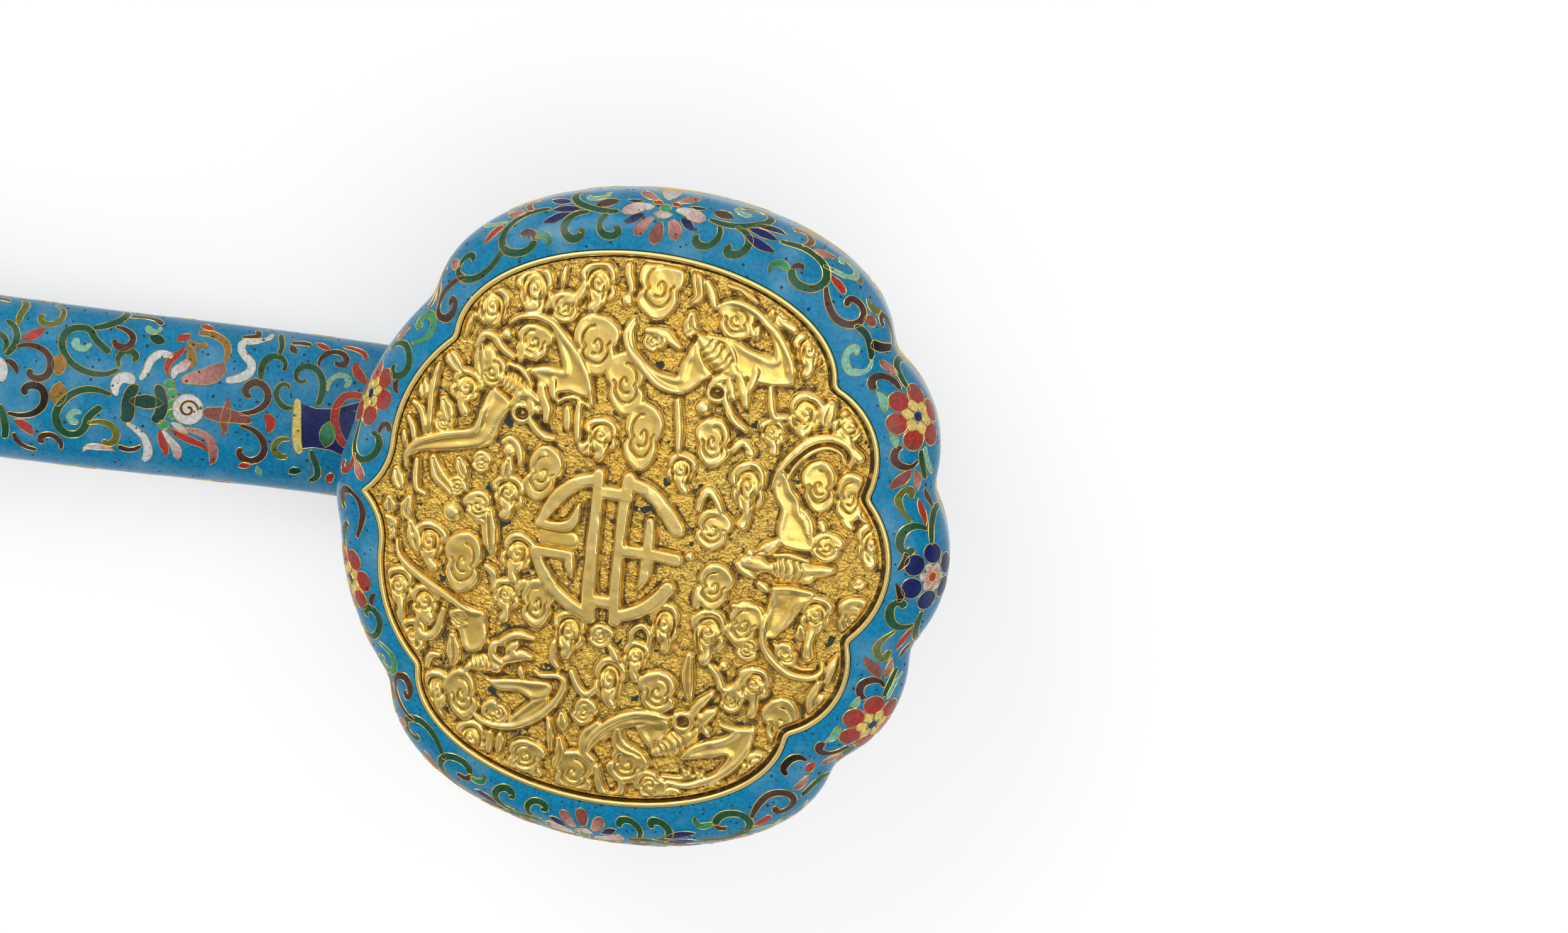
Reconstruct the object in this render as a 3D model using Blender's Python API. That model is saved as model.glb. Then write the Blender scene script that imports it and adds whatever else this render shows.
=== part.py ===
"""Ruyi scepter: a lobed head, a middle box and a tail box on a curved hollow shaft.

Each box is an enamelled shell with a back plate below and a gilt plaque above. The plaque
lies in a bezel on a bed, and tenons join the boxes to the hollow shaft. The shaft runs along X
from the tail (-X) to the head (+X), and the scepter lies on its back with the plaques up.
Each box has its own frame: u along the box, v across it, w up, with w = 0 at the recess edge.
All sizes are in metres.
"""

import math

import bmesh
import bpy
from mathutils import Matrix, Vector


# Fits and walls
CLEARANCE = 0.0003          # gap between pieces that touch
SHELL_WALL = 0.0016         # enamelled copper of the boxes
SHAFT_WALL = 0.0015         # enamelled copper of the shaft
SEAM_GAP = 0.0003           # between the front and back halves of the shaft

# Head: the recess edge is a lobed outline, given by the points where its lobes meet
HEAD_TIP = 0.0466           # centre of the plaque to the middle of the tip lobe
HEAD_SIDE = 0.0498          # centre of the plaque to the side lobes
HEAD_CUSP = 0.0472          # centre of the plaque back to the point over the shaft
TIP_NOTCH = (0.0412, 0.0130)
FRONT_NOTCH = (0.0330, 0.0316)
REAR_NOTCH = (-0.0338, 0.0300)
OGEE_JOIN = (-0.0427, 0.0090)
FRONT_LOBE_RISE = 0.0041
REAR_LOBE_RISE = 0.0024
OGEE_SAG = 0.0011
HEAD_DEPTH = 0.0220         # recess edge down to the back of the head
HEAD_BULGE = 0.0080         # recess edge down to the widest line of the rim

# Head rim: its width and direction (degrees from the tip) at each joint of the outline
TIP_NOTCH_RIM = 0.0102
TIP_NOTCH_RIM_ANGLE = 7
FRONT_NOTCH_RIM = 0.0100
FRONT_NOTCH_RIM_ANGLE = 34
REAR_NOTCH_RIM = 0.0074
REAR_NOTCH_RIM_ANGLE = 133
OGEE_RIM = 0.0086
OGEE_RIM_ANGLE = 187
CUSP_RIM = 0.0054
TIP_RIM = 0.0096
SIDE_RIM = 0.0093
RIM_TUCK = 0.5              # share of the rim's width left at the back edge

# Middle box and tail box: four lobes each
MIDDLE_HALF_LENGTH = 0.0280
MIDDLE_HALF_WIDTH = 0.0180
MIDDLE_NOTCH = (0.0145, 0.0125)
TAIL_HALF_LENGTH = 0.0250
TAIL_HALF_WIDTH = 0.0200
TAIL_NOTCH = (0.0120, 0.0145)
BOX_RIM = 0.0050
BOX_NOTCH_RIM_ANGLE = 53
BOX_DEPTH = 0.0240
BOX_BULGE = 0.0080
BOX_ABOVE_SHAFT = 0.0130    # shaft axis up to the recess edge

# Back plates, bezels, plaques and beds
BACK_PLATE = 0.0014
LIP = 0.0018                # thickness of the shell at the recess edge
BEZEL_WALL = 0.0009
BEZEL_PROUD = 0.0004
BEZEL_DROP = 0.0029
BEZEL_FOOT = 0.0029         # foot of the bezel, from its outer face inwards
BEZEL_FOOT_HEIGHT = 0.0008
PLAQUE_SHEET = 0.0012
PLAQUE_EDGE_DROP = 0.0006   # top of the plaque's edge below the recess edge
HEAD_DOME = 0.0026
BOX_DOME = 0.0016
RELIEF_HEIGHT = 0.0014
RELIEF_ROOT = 0.0005        # how far the relief reaches into the sheet
RELIEF_MARGIN = 0.0010      # bare band between the relief and the plaque's edge
BOSS_SWELL = 1.14           # a boss drawn larger than its listed size, as its foot spreads
BOSS_TOP = 0.78             # share of a boss's outline at its shoulder

# Shaft section: a flattened oval with a flat underside
SHAFT_HALF_WIDTH = 0.0153
NECK_HALF_WIDTH = 0.0147
JOINT_HALF_WIDTH = 0.0120
SHAFT_HALF_HEIGHT = 0.0090
JOINT_HALF_HEIGHT = 0.0080
UNDERSIDE_FLAT = 0.0008     # how much of the oval the flat underside takes off
OVAL_POWER = 2.3

# Shaft route, from the middle box to each end
STRAIGHT_BY_BOX = 0.0080    # straight stretch outside the point where the shaft enters a box
SHAFT_ENTRY = 0.0050        # how far the shaft reaches into a box
HEAD_RUN = 0.1090
HEAD_DROP = 0.0100
NECK_LENGTH = 0.0170
HOOK_RADIUS = 0.0200
HOOK_STRAIGHT = 0.0064
HEAD_TILT = math.radians(1.5)
TAIL_RUN = 0.0920

# Tenons and collar
TENON_WIDTH = 0.0160
TENON_HEIGHT = 0.0080
TENON_IN_SHAFT = 0.0075
TAIL_TENON_IN_BED = 0.0150
NECK_TENON_WIDTH = 0.0120
NECK_TENON_HEIGHT = 0.0070
NECK_TENON_IN_SHAFT = 0.0055
NECK_TENON_IN_BED = 0.0080
COLLAR_HEIGHT = 0.0030
COLLAR_WALL = 0.0022

# Tassel loop at the tail
LOOP_RADIUS = 0.0057
LOOP_WIRE = 0.0026
LOOP_STEM = 0.0032
LOOP_STEM_IN_SHELL = 0.0035
ROSETTE_RADIUS = 0.0045
ROSETTE_THICKNESS = 0.0012

ENAMEL = ("enamel", (0.045, 0.300, 0.520), 0.22, 0.0)
GILT = ("gilt_brass", (0.830, 0.590, 0.200), 0.30, 1.0)
BED = ("bed_wood", (0.210, 0.120, 0.060), 0.80, 0.0)


def clear_scene():
    """Remove whatever the file holds, so that the model starts from nothing."""
    for thing in list(bpy.data.objects):
        bpy.data.objects.remove(thing, do_unlink=True)


def make_material(piece, name, colour, roughness, metallic):
    """Give a piece its own plain material."""
    material = bpy.data.materials.new(piece.name + "_" + name)
    material.use_nodes = True
    shader = material.node_tree.nodes["Principled BSDF"]
    shader.inputs["Base Color"].default_value = (*colour, 1.0)
    shader.inputs["Roughness"].default_value = roughness
    shader.inputs["Metallic"].default_value = metallic
    piece.data.materials.append(material)


def add_piece(name, bm, parent, finish):
    """Turn a bmesh of closed bodies into a named piece under a frame."""
    bmesh.ops.recalc_face_normals(bm, faces=bm.faces)
    bmesh.ops.triangulate(bm, faces=bm.faces)
    mesh = bpy.data.meshes.new(name)
    bm.to_mesh(mesh)
    bm.free()
    piece = bpy.data.objects.new(name, mesh)
    bpy.context.collection.objects.link(piece)
    piece.parent = parent
    if finish:
        make_material(piece, *finish)
        mesh.shade_smooth()
        mesh.set_sharp_from_angle(angle=math.radians(32))
    return piece


def add_cutter(name, bm, parent):
    """Make a body that only shapes other pieces."""
    cutter = add_piece(name, bm, parent, None)
    cutter.hide_render = True
    cutter.display_type = "WIRE"
    return cutter


def shape_with(piece, cutter, operation, overlapping=False):
    """Cut a piece by another body, or join the body to it."""
    boolean = piece.modifiers.new(operation.lower(), "BOOLEAN")
    boolean.operation = operation
    boolean.solver = "EXACT"
    boolean.use_self = overlapping
    boolean.object = cutter


def add_frame(name, location, turn, parent):
    """An empty that carries the pieces of one box."""
    frame = bpy.data.objects.new(name, None)
    bpy.context.collection.objects.link(frame)
    frame.parent = parent
    frame.location = location
    frame.rotation_euler = turn
    return frame


# Outlines

def bulge(start, end, rise, steps, oval):
    """Points from start up to end, bulging to the right of travel: an arc or half an oval."""
    chord = end - start
    half = chord.length / 2
    along = chord.normalized()
    out = Vector((along.y, -along.x))
    middle = (start + end) / 2
    points = []
    for step in range(steps):
        share = step / steps
        if oval:
            angle = math.pi * share
            points.append(middle - along * half * math.cos(angle) + out * rise * math.sin(angle))
            continue
        radius = (half * half + rise * rise) / (2 * abs(rise))
        sweep = math.asin(min(1.0, half / radius))
        angle = sweep * (2 * share - 1)
        lift = radius * math.cos(angle) - radius * math.cos(sweep)
        points.append(middle + along * radius * math.sin(angle) + out * lift * (1 if rise > 0 else -1))
    return points


def lobed_outline(joints, lobes):
    """Closed outline, anticlockwise from the first joint and mirrored across v = 0.

    joints lists the upper half from the tip to the back. lobes[0] crosses the tip, the next ones
    lead to the joints after the first, and one more crosses the back where no joint lies on v = 0.
    """
    upper = [Vector(joint) for joint in joints]
    on_axis = abs(upper[-1].y) < 1e-9
    lower = [Vector((p.x, -p.y)) for p in reversed(upper[:-1] if on_axis else upper)]
    ring = upper + lower
    order = list(range(1, len(upper)))
    crossing = [] if on_axis else [len(lobes) - 1]
    spans = order + crossing + order[::-1] + [0]
    points = []
    for index, lobe in enumerate(spans):
        start = ring[index]
        end = ring[(index + 1) % len(ring)]
        points += bulge(start, end, *lobes[lobe])
    return points


def moved(point, distance, degrees):
    """A point moved by a distance in a direction."""
    angle = math.radians(degrees)
    return (point[0] + distance * math.cos(angle), point[1] + distance * math.sin(angle))


def inset(outline, distance):
    """An outline moved inwards by a distance, with mitred corners."""
    count = len(outline)
    result = []
    for index, point in enumerate(outline):
        before = (point - outline[index - 1]).normalized()
        after = (outline[(index + 1) % count] - point).normalized()
        inward = Vector((-before.y - after.y, before.x + after.x)).normalized()
        mitre = max(0.5, inward.dot(Vector((-before.y, before.x))))
        result.append(point + inward * distance / mitre)
    return result


def head_outlines():
    """Recess edge and widest line of the head's rim, point by point alike."""
    recess = [TIP_NOTCH, FRONT_NOTCH, REAR_NOTCH, OGEE_JOIN, (-HEAD_CUSP, 0)]
    rim = [moved(TIP_NOTCH, TIP_NOTCH_RIM, TIP_NOTCH_RIM_ANGLE),
           moved(FRONT_NOTCH, FRONT_NOTCH_RIM, FRONT_NOTCH_RIM_ANGLE),
           moved(REAR_NOTCH, REAR_NOTCH_RIM, REAR_NOTCH_RIM_ANGLE),
           moved(OGEE_JOIN, OGEE_RIM, OGEE_RIM_ANGLE),
           (-HEAD_CUSP - CUSP_RIM, 0)]
    outlines = []
    for joints, tip, side, sag in ((recess, HEAD_TIP, HEAD_SIDE, OGEE_SAG),
                                   (rim, HEAD_TIP + TIP_RIM, HEAD_SIDE + SIDE_RIM, -OGEE_SAG / 2)):
        side_rise = side - (joints[1][1] + joints[2][1]) / 2
        lobes = [(tip - joints[0][0], 8, False),
                 (FRONT_LOBE_RISE, 5, False),
                 (side_rise, 12, True),
                 (REAR_LOBE_RISE, 4, False),
                 (-sag, 2, False)]
        outlines.append(lobed_outline(joints, lobes))
    return outlines


def box_outlines(half_length, half_width, notch):
    """Recess edge and widest line of a four-lobed box."""
    outlines = []
    for grown in (0.0, BOX_RIM):
        corner = moved(notch, grown, BOX_NOTCH_RIM_ANGLE)
        end_lobe = (half_length + grown - corner[0], 10, True)
        side_lobe = (half_width + grown - corner[1], 7, False)
        joints = [corner, (-corner[0], corner[1])]
        outlines.append(lobed_outline(joints, [end_lobe, side_lobe, end_lobe]))
    return outlines


class Box:
    """The outlines and heights that the pieces of one box share."""

    def __init__(self, name, frame, outlines, depth, bulge_depth, dome):
        self.name = name
        self.frame = frame
        self.recess, self.widest = outlines
        self.depth = depth
        self.bulge_depth = bulge_depth
        self.dome = dome
        self.plaque_edge = inset(self.recess, 2 * CLEARANCE + BEZEL_WALL)

    def rim_ring(self, reach, width_share):
        """Points reached from the recess edge outwards: a share of the rim's width plus reach."""
        ring = []
        for near, far in zip(self.recess, self.widest):
            way = far - near
            ring.append(near + way.normalized() * (way.length * width_share + reach))
        return ring

    def dome_height(self, u, v):
        """Height of the plaque's upper face over its edge at a point."""
        radius = math.hypot(u, v)
        if radius < 1e-9:
            return self.dome
        edge = edge_distance(self.plaque_edge, math.atan2(v, u))
        share = min(1.0, radius / edge)
        return self.dome * (1 - share * share)


def edge_distance(outline, angle):
    """Distance from the centre to a star-shaped outline in one direction."""
    way = Vector((math.cos(angle), math.sin(angle)))
    for index, end in enumerate(outline):
        start = outline[index - 1]
        side = end - start
        turn = way.x * side.y - way.y * side.x
        if abs(turn) < 1e-12:
            continue
        distance = (start.x * side.y - start.y * side.x) / turn
        share = (start.x * way.y - start.y * way.x) / turn
        if distance > 0 and -1e-6 <= share <= 1 + 1e-6:
            return distance
    return max(point.length for point in outline)


# Bodies made of rings

def ring_verts(bm, outline, height):
    """One ring of vertices. height is a number or a function of u and v."""
    verts = []
    for point in outline:
        level = height(point.x, point.y) if callable(height) else height
        verts.append(bm.verts.new((point.x, point.y, level)))
    return verts


def skin(bm, first, second):
    """Join two rings of vertices by quads."""
    count = len(first)
    for index in range(count):
        after = (index + 1) % count
        bm.faces.new((first[index], first[after], second[after], second[index]))


def fan(bm, ring, centre):
    """Close a ring with triangles to its centre."""
    middle = bm.verts.new(centre)
    for index in range(len(ring)):
        bm.faces.new((ring[index - 1], ring[index], middle))


def ring_body(rings):
    """A closed band: the last ring is joined to the first."""
    bm = bmesh.new()
    rows = [ring_verts(bm, outline, height) for outline, height in rings]
    for index, row in enumerate(rows):
        skin(bm, rows[index - 1], row)
    return bm


def slab(outline, low, high):
    """A flat slab between two heights."""
    bm = bmesh.new()
    bottom = ring_verts(bm, outline, low)
    top = ring_verts(bm, outline, high)
    skin(bm, bottom, top)
    bm.faces.new(bottom)
    bm.faces.new(top)
    return bm


def block(low, high):
    """A rectangular block between two corners."""
    bm = bmesh.new()
    bmesh.ops.create_cube(bm, size=1)
    centre = (Vector(low) + Vector(high)) / 2
    size = Vector(high) - Vector(low)
    bmesh.ops.transform(bm, matrix=Matrix.Translation(centre) @ Matrix.Diagonal((*size, 1)), verts=bm.verts)
    return bm


def scaled(outline, share):
    """An outline drawn towards its centre."""
    return [point * share for point in outline]


# The pieces of one box

def make_shell(box):
    """The enamelled rim: a C-shaped band from the recess edge round to the back."""
    rings = []
    for degrees in (0, 24, 46, 68, 90):
        angle = math.radians(degrees)
        drop = -box.bulge_depth * (1 - math.cos(angle))
        rings.append((box.rim_ring(0, math.sin(angle)), drop))
    for degrees in (28, 58, 90):
        angle = math.radians(degrees)
        drop = -box.bulge_depth - (box.depth - box.bulge_depth) * math.sin(angle)
        rings.append((box.rim_ring(0, RIM_TUCK + (1 - RIM_TUCK) * math.cos(angle)), drop))
    for degrees in (90, 50):
        angle = math.radians(degrees)
        drop = -box.bulge_depth - (box.depth - box.bulge_depth) * math.sin(angle)
        rings.append((box.rim_ring(-SHELL_WALL, RIM_TUCK + (1 - RIM_TUCK) * math.cos(angle)), drop))
    for degrees in (90, 50, 0):
        angle = math.radians(degrees)
        drop = -box.bulge_depth + (box.bulge_depth - LIP) * math.cos(angle)
        rings.append((box.rim_ring(-SHELL_WALL * math.sin(angle), math.sin(angle)), drop))
    return add_piece(box.name + "_shell", ring_body(rings), box.frame, ENAMEL)


def make_back_plate(box):
    """The plate that closes the back of the shell."""
    outline = box.rim_ring(-SHELL_WALL - CLEARANCE, RIM_TUCK)
    bm = slab(outline, -box.depth, -box.depth + BACK_PLATE)
    return add_piece(box.name + "_back_plate", bm, box.frame, ENAMEL)


def make_bezel(box):
    """The gilt rim round the plaque, with a foot under the plaque's edge."""
    outer = inset(box.recess, CLEARANCE)
    inner = inset(box.recess, CLEARANCE + BEZEL_WALL)
    crown = inset(box.recess, CLEARANCE + BEZEL_WALL / 2)
    toe = inset(box.recess, CLEARANCE + BEZEL_FOOT)
    foot_top = -BEZEL_DROP + BEZEL_FOOT_HEIGHT
    rings = [(outer, -BEZEL_DROP),
             (outer, BEZEL_PROUD / 2),
             (crown, BEZEL_PROUD),
             (inner, BEZEL_PROUD / 2),
             (inner, foot_top),
             (toe, foot_top),
             (toe, -BEZEL_DROP)]
    return add_piece(box.name + "_bezel", ring_body(rings), box.frame, GILT)


def make_plaque(box, relief):
    """The gilt sheet, domed towards its middle, with its relief joined on."""
    edge = box.plaque_edge
    top = -PLAQUE_EDGE_DROP

    def upper(u, v):
        return top + box.dome_height(u, v)

    def lower(u, v):
        return upper(u, v) - PLAQUE_SHEET

    bm = bmesh.new()
    shares = (0.32, 0.62, 0.86, 1.0)
    rows = [ring_verts(bm, scaled(edge, share), lower) for share in shares]
    rows += [ring_verts(bm, scaled(edge, share), upper) for share in reversed(shares)]
    for first, second in zip(rows, rows[1:]):
        skin(bm, first, second)
    fan(bm, rows[0], (0, 0, lower(0, 0)))
    fan(bm, rows[-1], (0, 0, upper(0, 0)))
    plaque = add_piece(box.name + "_plaque", bm, box.frame, GILT)
    raised = bmesh.new()
    relief(Relief(raised, box, upper))
    cutter = add_cutter(box.name + "_relief", raised, box.frame)
    shape_with(plaque, cutter, "UNION", overlapping=True)
    return plaque


def make_bed(box):
    """The bed under the plaque: a ledge for the bezel and a crown for the plaque."""
    ledge = inset(box.recess, 2 * CLEARANCE)
    crown = inset(box.recess, 2 * CLEARANCE + BEZEL_FOOT)
    ledge_height = -BEZEL_DROP - CLEARANCE
    bottom = -box.depth + BACK_PLATE + CLEARANCE
    drop = PLAQUE_EDGE_DROP + PLAQUE_SHEET + CLEARANCE

    def seat(u, v):
        return max(ledge_height + CLEARANCE, box.dome_height(u, v) - drop)

    bm = bmesh.new()
    rows = [ring_verts(bm, ledge, bottom),
            ring_verts(bm, ledge, ledge_height),
            ring_verts(bm, crown, ledge_height),
            ring_verts(bm, crown, seat)]
    rows += [ring_verts(bm, scaled(box.plaque_edge, share), seat) for share in (0.86, 0.62, 0.32)]
    for first, second in zip(rows, rows[1:]):
        skin(bm, first, second)
    bm.faces.new(rows[0])
    fan(bm, rows[-1], (0, 0, seat(0, 0)))
    return add_piece(box.name + "_bed", bm, box.frame, BED)


# The relief, drawn on a plaque that is fifty units from its centre to its side

class Relief:
    """Draws raised shapes on a plaque."""

    def __init__(self, bm, box, surface):
        self.bm = bm
        self.box = box
        self.surface = surface
        self.limit = inset(box.plaque_edge, RELIEF_MARGIN)

    def fits(self, points):
        """Whether every point lies within the plaque's bare edge band."""
        for point in points:
            reach = edge_distance(self.limit, math.atan2(point.y, point.x))
            if point.length > reach:
                return False
        return True

    def row(self, points, lift):
        return [self.bm.verts.new((p.x, p.y, self.surface(p.x, p.y) + lift)) for p in points]

    def boss(self, centre, length, width, degrees, unit, lobes=0.0, tail=0.0):
        """A rounded boss. lobes makes a scalloped cloud, tail draws one end out."""
        turn = Matrix.Rotation(math.radians(degrees), 2)
        middle = Vector(centre) * unit
        outline = []
        sides = 11
        for side in range(sides):
            angle = 2 * math.pi * side / sides
            reach = 1 + lobes * math.cos(5 * angle) + tail * max(0.0, math.cos(angle)) ** 5
            local = Vector((length / 2 * math.cos(angle), width / 2 * math.sin(angle)))
            local *= reach * unit * BOSS_SWELL
            outline.append(middle + turn @ local)
        if not self.fits(outline):
            return
        inner = [middle + (point - middle) * BOSS_TOP for point in outline]
        base = self.row(outline, -RELIEF_ROOT)
        top = self.row(inner, RELIEF_HEIGHT * 0.8)
        skin(self.bm, base, top)
        fan(self.bm, top, (middle.x, middle.y, self.surface(middle.x, middle.y) + RELIEF_HEIGHT))
        self.bm.faces.new(base)

    def stroke(self, spine, widths, unit):
        """A raised ribbon along a few points, with a width at each."""
        points = [Vector(point) * unit for point in spine]
        rows = []
        edges = []
        for index, point in enumerate(points):
            before = points[max(index - 1, 0)]
            after = points[min(index + 1, len(points) - 1)]
            along = (after - before).normalized()
            across = Vector((-along.y, along.x)) * widths[index] * unit / 2
            edges += [point + across, point - across]
            rows.append((point, across))
        if not self.fits(edges):
            return
        rings = []
        for point, across in rows:
            section = []
            for share, lift in ((-1, -RELIEF_ROOT), (-0.62, RELIEF_HEIGHT), (0.62, RELIEF_HEIGHT), (1, -RELIEF_ROOT)):
                place = point + across * share
                height = self.surface(place.x, place.y) + lift
                section.append(self.bm.verts.new((place.x, place.y, height)))
            rings.append(section)
        for first, second in zip(rings, rings[1:]):
            skin(self.bm, first, second)
        self.bm.faces.new(rings[0])
        self.bm.faces.new(rings[-1])

    def arc(self, centre, radius, start, end, width, unit):
        """A raised ribbon along part of a circle, in degrees."""
        steps = 5
        spine = []
        for step in range(steps + 1):
            angle = math.radians(start + (end - start) * step / steps)
            spine.append((centre[0] + radius * math.cos(angle), centre[1] + radius * math.sin(angle)))
        self.stroke(spine, [width] * (steps + 1), unit)

    def longevity_roundel(self, centre, radius, unit):
        """The round longevity sign: a broken ring with two bars and cross strokes."""
        u, v = centre
        stroke = radius * 0.16
        for start, end in ((20, 74), (106, 166), (194, 254), (286, 340)):
            self.arc(centre, radius, start, end, stroke, unit)
        for side in (-0.21, 0.21):
            spine = [(u + side * radius, v - 1.05 * radius), (u + side * radius, v + 1.05 * radius)]
            self.stroke(spine, [stroke, stroke], unit)
        for level in (-0.78, 0.84):
            spine = [(u - 0.28 * radius, v + level * radius), (u + 0.28 * radius, v + level * radius)]
            self.stroke(spine, [stroke * 0.9] * 2, unit)
        for level in (-0.18, 0.24):
            spine = [(u - radius, v + level * radius), (u - 0.45 * radius, v + level * radius)]
            self.stroke(spine, [stroke * 0.8] * 2, unit)
        self.stroke([(u + 0.16 * radius, v), (u + radius, v)], [stroke * 0.8] * 2, unit)
        self.stroke([(u + 0.55 * radius, v - 0.45 * radius), (u + 0.55 * radius, v + 0.45 * radius)],
                    [stroke * 0.8] * 2, unit)

    def bat(self, body, head, wings, unit):
        """A bat: body, head and two swept wings. A wing is a spine with its widths."""
        way = Vector(head) - Vector(body)
        degrees = math.degrees(math.atan2(way.y, way.x))
        self.boss(body, 8.5, 4.8, degrees, unit)
        self.boss(head, 5.0, 3.2, degrees, unit)
        for spine, widths in wings:
            self.stroke(spine, widths, unit)


def head_relief(relief):
    """Five bats round the longevity sign, among clouds."""
    unit = HEAD_SIDE / 50
    relief.longevity_roundel((-2.1, -2.4), 12.0, unit)
    relief.bat((-22.8, 23.6), (-17.2, 19.6),
               [([(-24.0, 33.6), (-19.8, 34.6), (-15.6, 31.6), (-13.0, 27.6), (-11.8, 23.6)],
                 [0.8, 1.6, 3.2, 5.0, 5.2]),
                ([(-24.6, 20.6), (-25.8, 16.6), (-28.4, 12.9), (-34.0, 10.9), (-39.0, 7.6)],
                 [3.6, 3.4, 2.4, 1.8, 1.0])], unit)
    relief.bat((11.8, 34.2), (17.4, 28.6),
               [([(11.4, 42.2), (16.4, 42.2), (20.8, 38.6), (22.8, 34.4), (20.6, 32.4)],
                 [0.8, 1.6, 3.0, 4.6, 3.0]),
                ([(-3.6, 37.0), (-2.2, 32.6), (1.8, 29.2), (6.2, 28.6), (8.4, 32.0)],
                 [0.8, 1.4, 2.0, 3.0, 2.4])], unit)
    relief.bat((29.6, -1.4), (23.0, -1.0),
               [([(36.8, 19.6), (32.0, 21.0), (28.0, 17.8), (26.4, 12.6), (29.4, 6.2)],
                 [1.2, 1.8, 1.8, 2.4, 5.6]),
                ([(37.0, -17.6), (33.0, -20.2), (28.4, -17.4), (27.0, -12.8), (29.8, -7.4)],
                 [1.2, 1.8, 2.2, 2.6, 5.4])], unit)
    relief.bat((12.4, -36.2), (17.6, -31.6),
               [([(27.0, -31.4), (25.2, -36.4), (21.0, -40.8), (16.0, -43.2)],
                 [1.6, 3.4, 2.6, 1.0]),
                ([(-1.6, -40.2), (1.0, -35.8), (5.6, -32.6), (10.4, -32.0)],
                 [0.9, 2.0, 2.6, 2.6])], unit)
    relief.bat((-21.8, -27.6), (-16.8, -23.8),
               [([(-38.6, -9.6), (-33.0, -14.4), (-27.2, -17.2), (-24.8, -20.8), (-23.8, -24.4)],
                 [1.0, 1.8, 2.2, 4.2, 3.8]),
                ([(-8.6, -28.0), (-9.8, -32.0), (-13.6, -36.2), (-19.0, -37.6), (-23.6, -35.4)],
                 [2.0, 3.6, 2.8, 1.8, 0.9])], unit)
    clouds = [(-27.8, 36.2, 5, 4, 250), (-21.4, 40.6, 6, 4.6, 80), (-9.8, 42.8, 6, 4.4, 250),
              (-15.4, 38.2, 4, 3.6, 260), (-19.4, 31.2, 4.6, 4.2, 250), (-8.8, 33.2, 7, 5.4, 300),
              (-3.6, 26.8, 8, 4.6, 270), (0.8, 18.2, 10, 4.2, 268), (-6.0, 16.8, 6, 4, 260),
              (-30.6, 20.6, 6, 4, 275), (-38.0, 19.0, 5.6, 2.2, 290), (-15.0, 9.4, 7.6, 4.4, 255),
              (-21.2, 5.4, 8, 4.2, 265), (-33.0, -7.6, 6, 4.2, 275), (-27.2, -9.4, 8, 5, 265),
              (-18.0, -7.4, 7.4, 4.6, 260), (-19.0, -14.6, 5, 3.2, 275), (-13.4, -14.4, 6.6, 3.8, 285),
              (-7.6, -19.6, 6.4, 4, 265), (-37.6, -17.0, 6, 3.4, 280), (-32.6, -20.0, 7, 4, 280),
              (-35.0, -25.0, 4, 3, 280), (-22.0, -41.6, 4.4, 4.2, 280), (-12.2, -43.0, 5.4, 5, 285),
              (-4.2, -44.0, 6.4, 5, 285), (0.6, -25.6, 8, 4, 275), (9.2, -14.8, 7, 4, 275),
              (16.6, -5.8, 7.4, 4.6, 265), (17.2, -15.2, 7.6, 4.8, 285), (23.2, -13.0, 8, 4.6, 285),
              (34.8, -10.6, 8, 4.4, 280), (41.6, -7.6, 4.6, 3.6, 260), (26.0, -23.8, 6.2, 4.2, 275),
              (31.0, -28.6, 6, 4.4, 280), (38.2, -24.0, 5, 2.8, 260), (9.2, -27.2, 6, 5.6, 280),
              (7.0, -42.2, 7.4, 5.4, 315), (14.6, -46.0, 2.4, 2.4, 0), (21.6, -44.0, 3.0, 2.0, 20),
              (27.8, -38.6, 4.2, 2.8, 80), (0.4, 43.6, 6, 5.4, 270), (7.2, 42.4, 8, 3.6, 280),
              (14.6, 39.4, 3.6, 3.4, 0), (27.4, 37.4, 5.4, 3.2, 265), (13.0, 19.0, 7, 4.4, 265),
              (8.6, 13.4, 4, 3.6, 275), (20.8, 12.0, 9.4, 4.4, 275), (15.4, 4.8, 8, 4.6, 285),
              (23.2, 22.0, 5, 3, 275), (28.2, 26.0, 5.2, 4, 265), (36.2, 24.6, 3.8, 3.6, 280),
              (32.2, 13.2, 6, 4, 265), (37.4, 12.8, 5, 3.4, 285), (42.2, 5.0, 3.8, 2.8, 275),
              (-29.0, 28.6, 4.6, 3.2, 60), (-37.6, 2.0, 5, 3, 250), (-29.0, 4.0, 5.6, 3.4, 300)]
    for u, v, length, width, degrees in clouds:
        relief.boss((u, v), length, width, degrees, unit, lobes=0.10, tail=0.35)


def middle_relief(relief):
    """A longevity sign between four clouds."""
    unit = MIDDLE_HALF_WIDTH / 50
    relief.longevity_roundel((0, 0), 28.0, unit)
    for u in (-54, 54):
        for v in (-12, 12):
            relief.boss((u, v), 18, 13, 90 + 90 * (v < 0), unit, lobes=0.10, tail=0.35)


def tail_relief(relief):
    """One bat with spread wings, its head towards the tail, between clouds."""
    unit = TAIL_HALF_WIDTH / 50
    wings = []
    for side in (-1, 1):
        wings.append(([(-2, 9 * side), (8, 19 * side), (4, 31 * side), (-10, 37 * side)], [9, 9, 7, 3]))
    relief.bat((-2, 0), (12, 0), wings, unit)
    for u, v, degrees in ((36, 12, 80), (36, -12, 280), (-34, 15, 100), (-34, -15, 260), (-44, 0, 180)):
        relief.boss((u, v), 15, 11, degrees, unit, lobes=0.10, tail=0.35)


# The shaft

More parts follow.
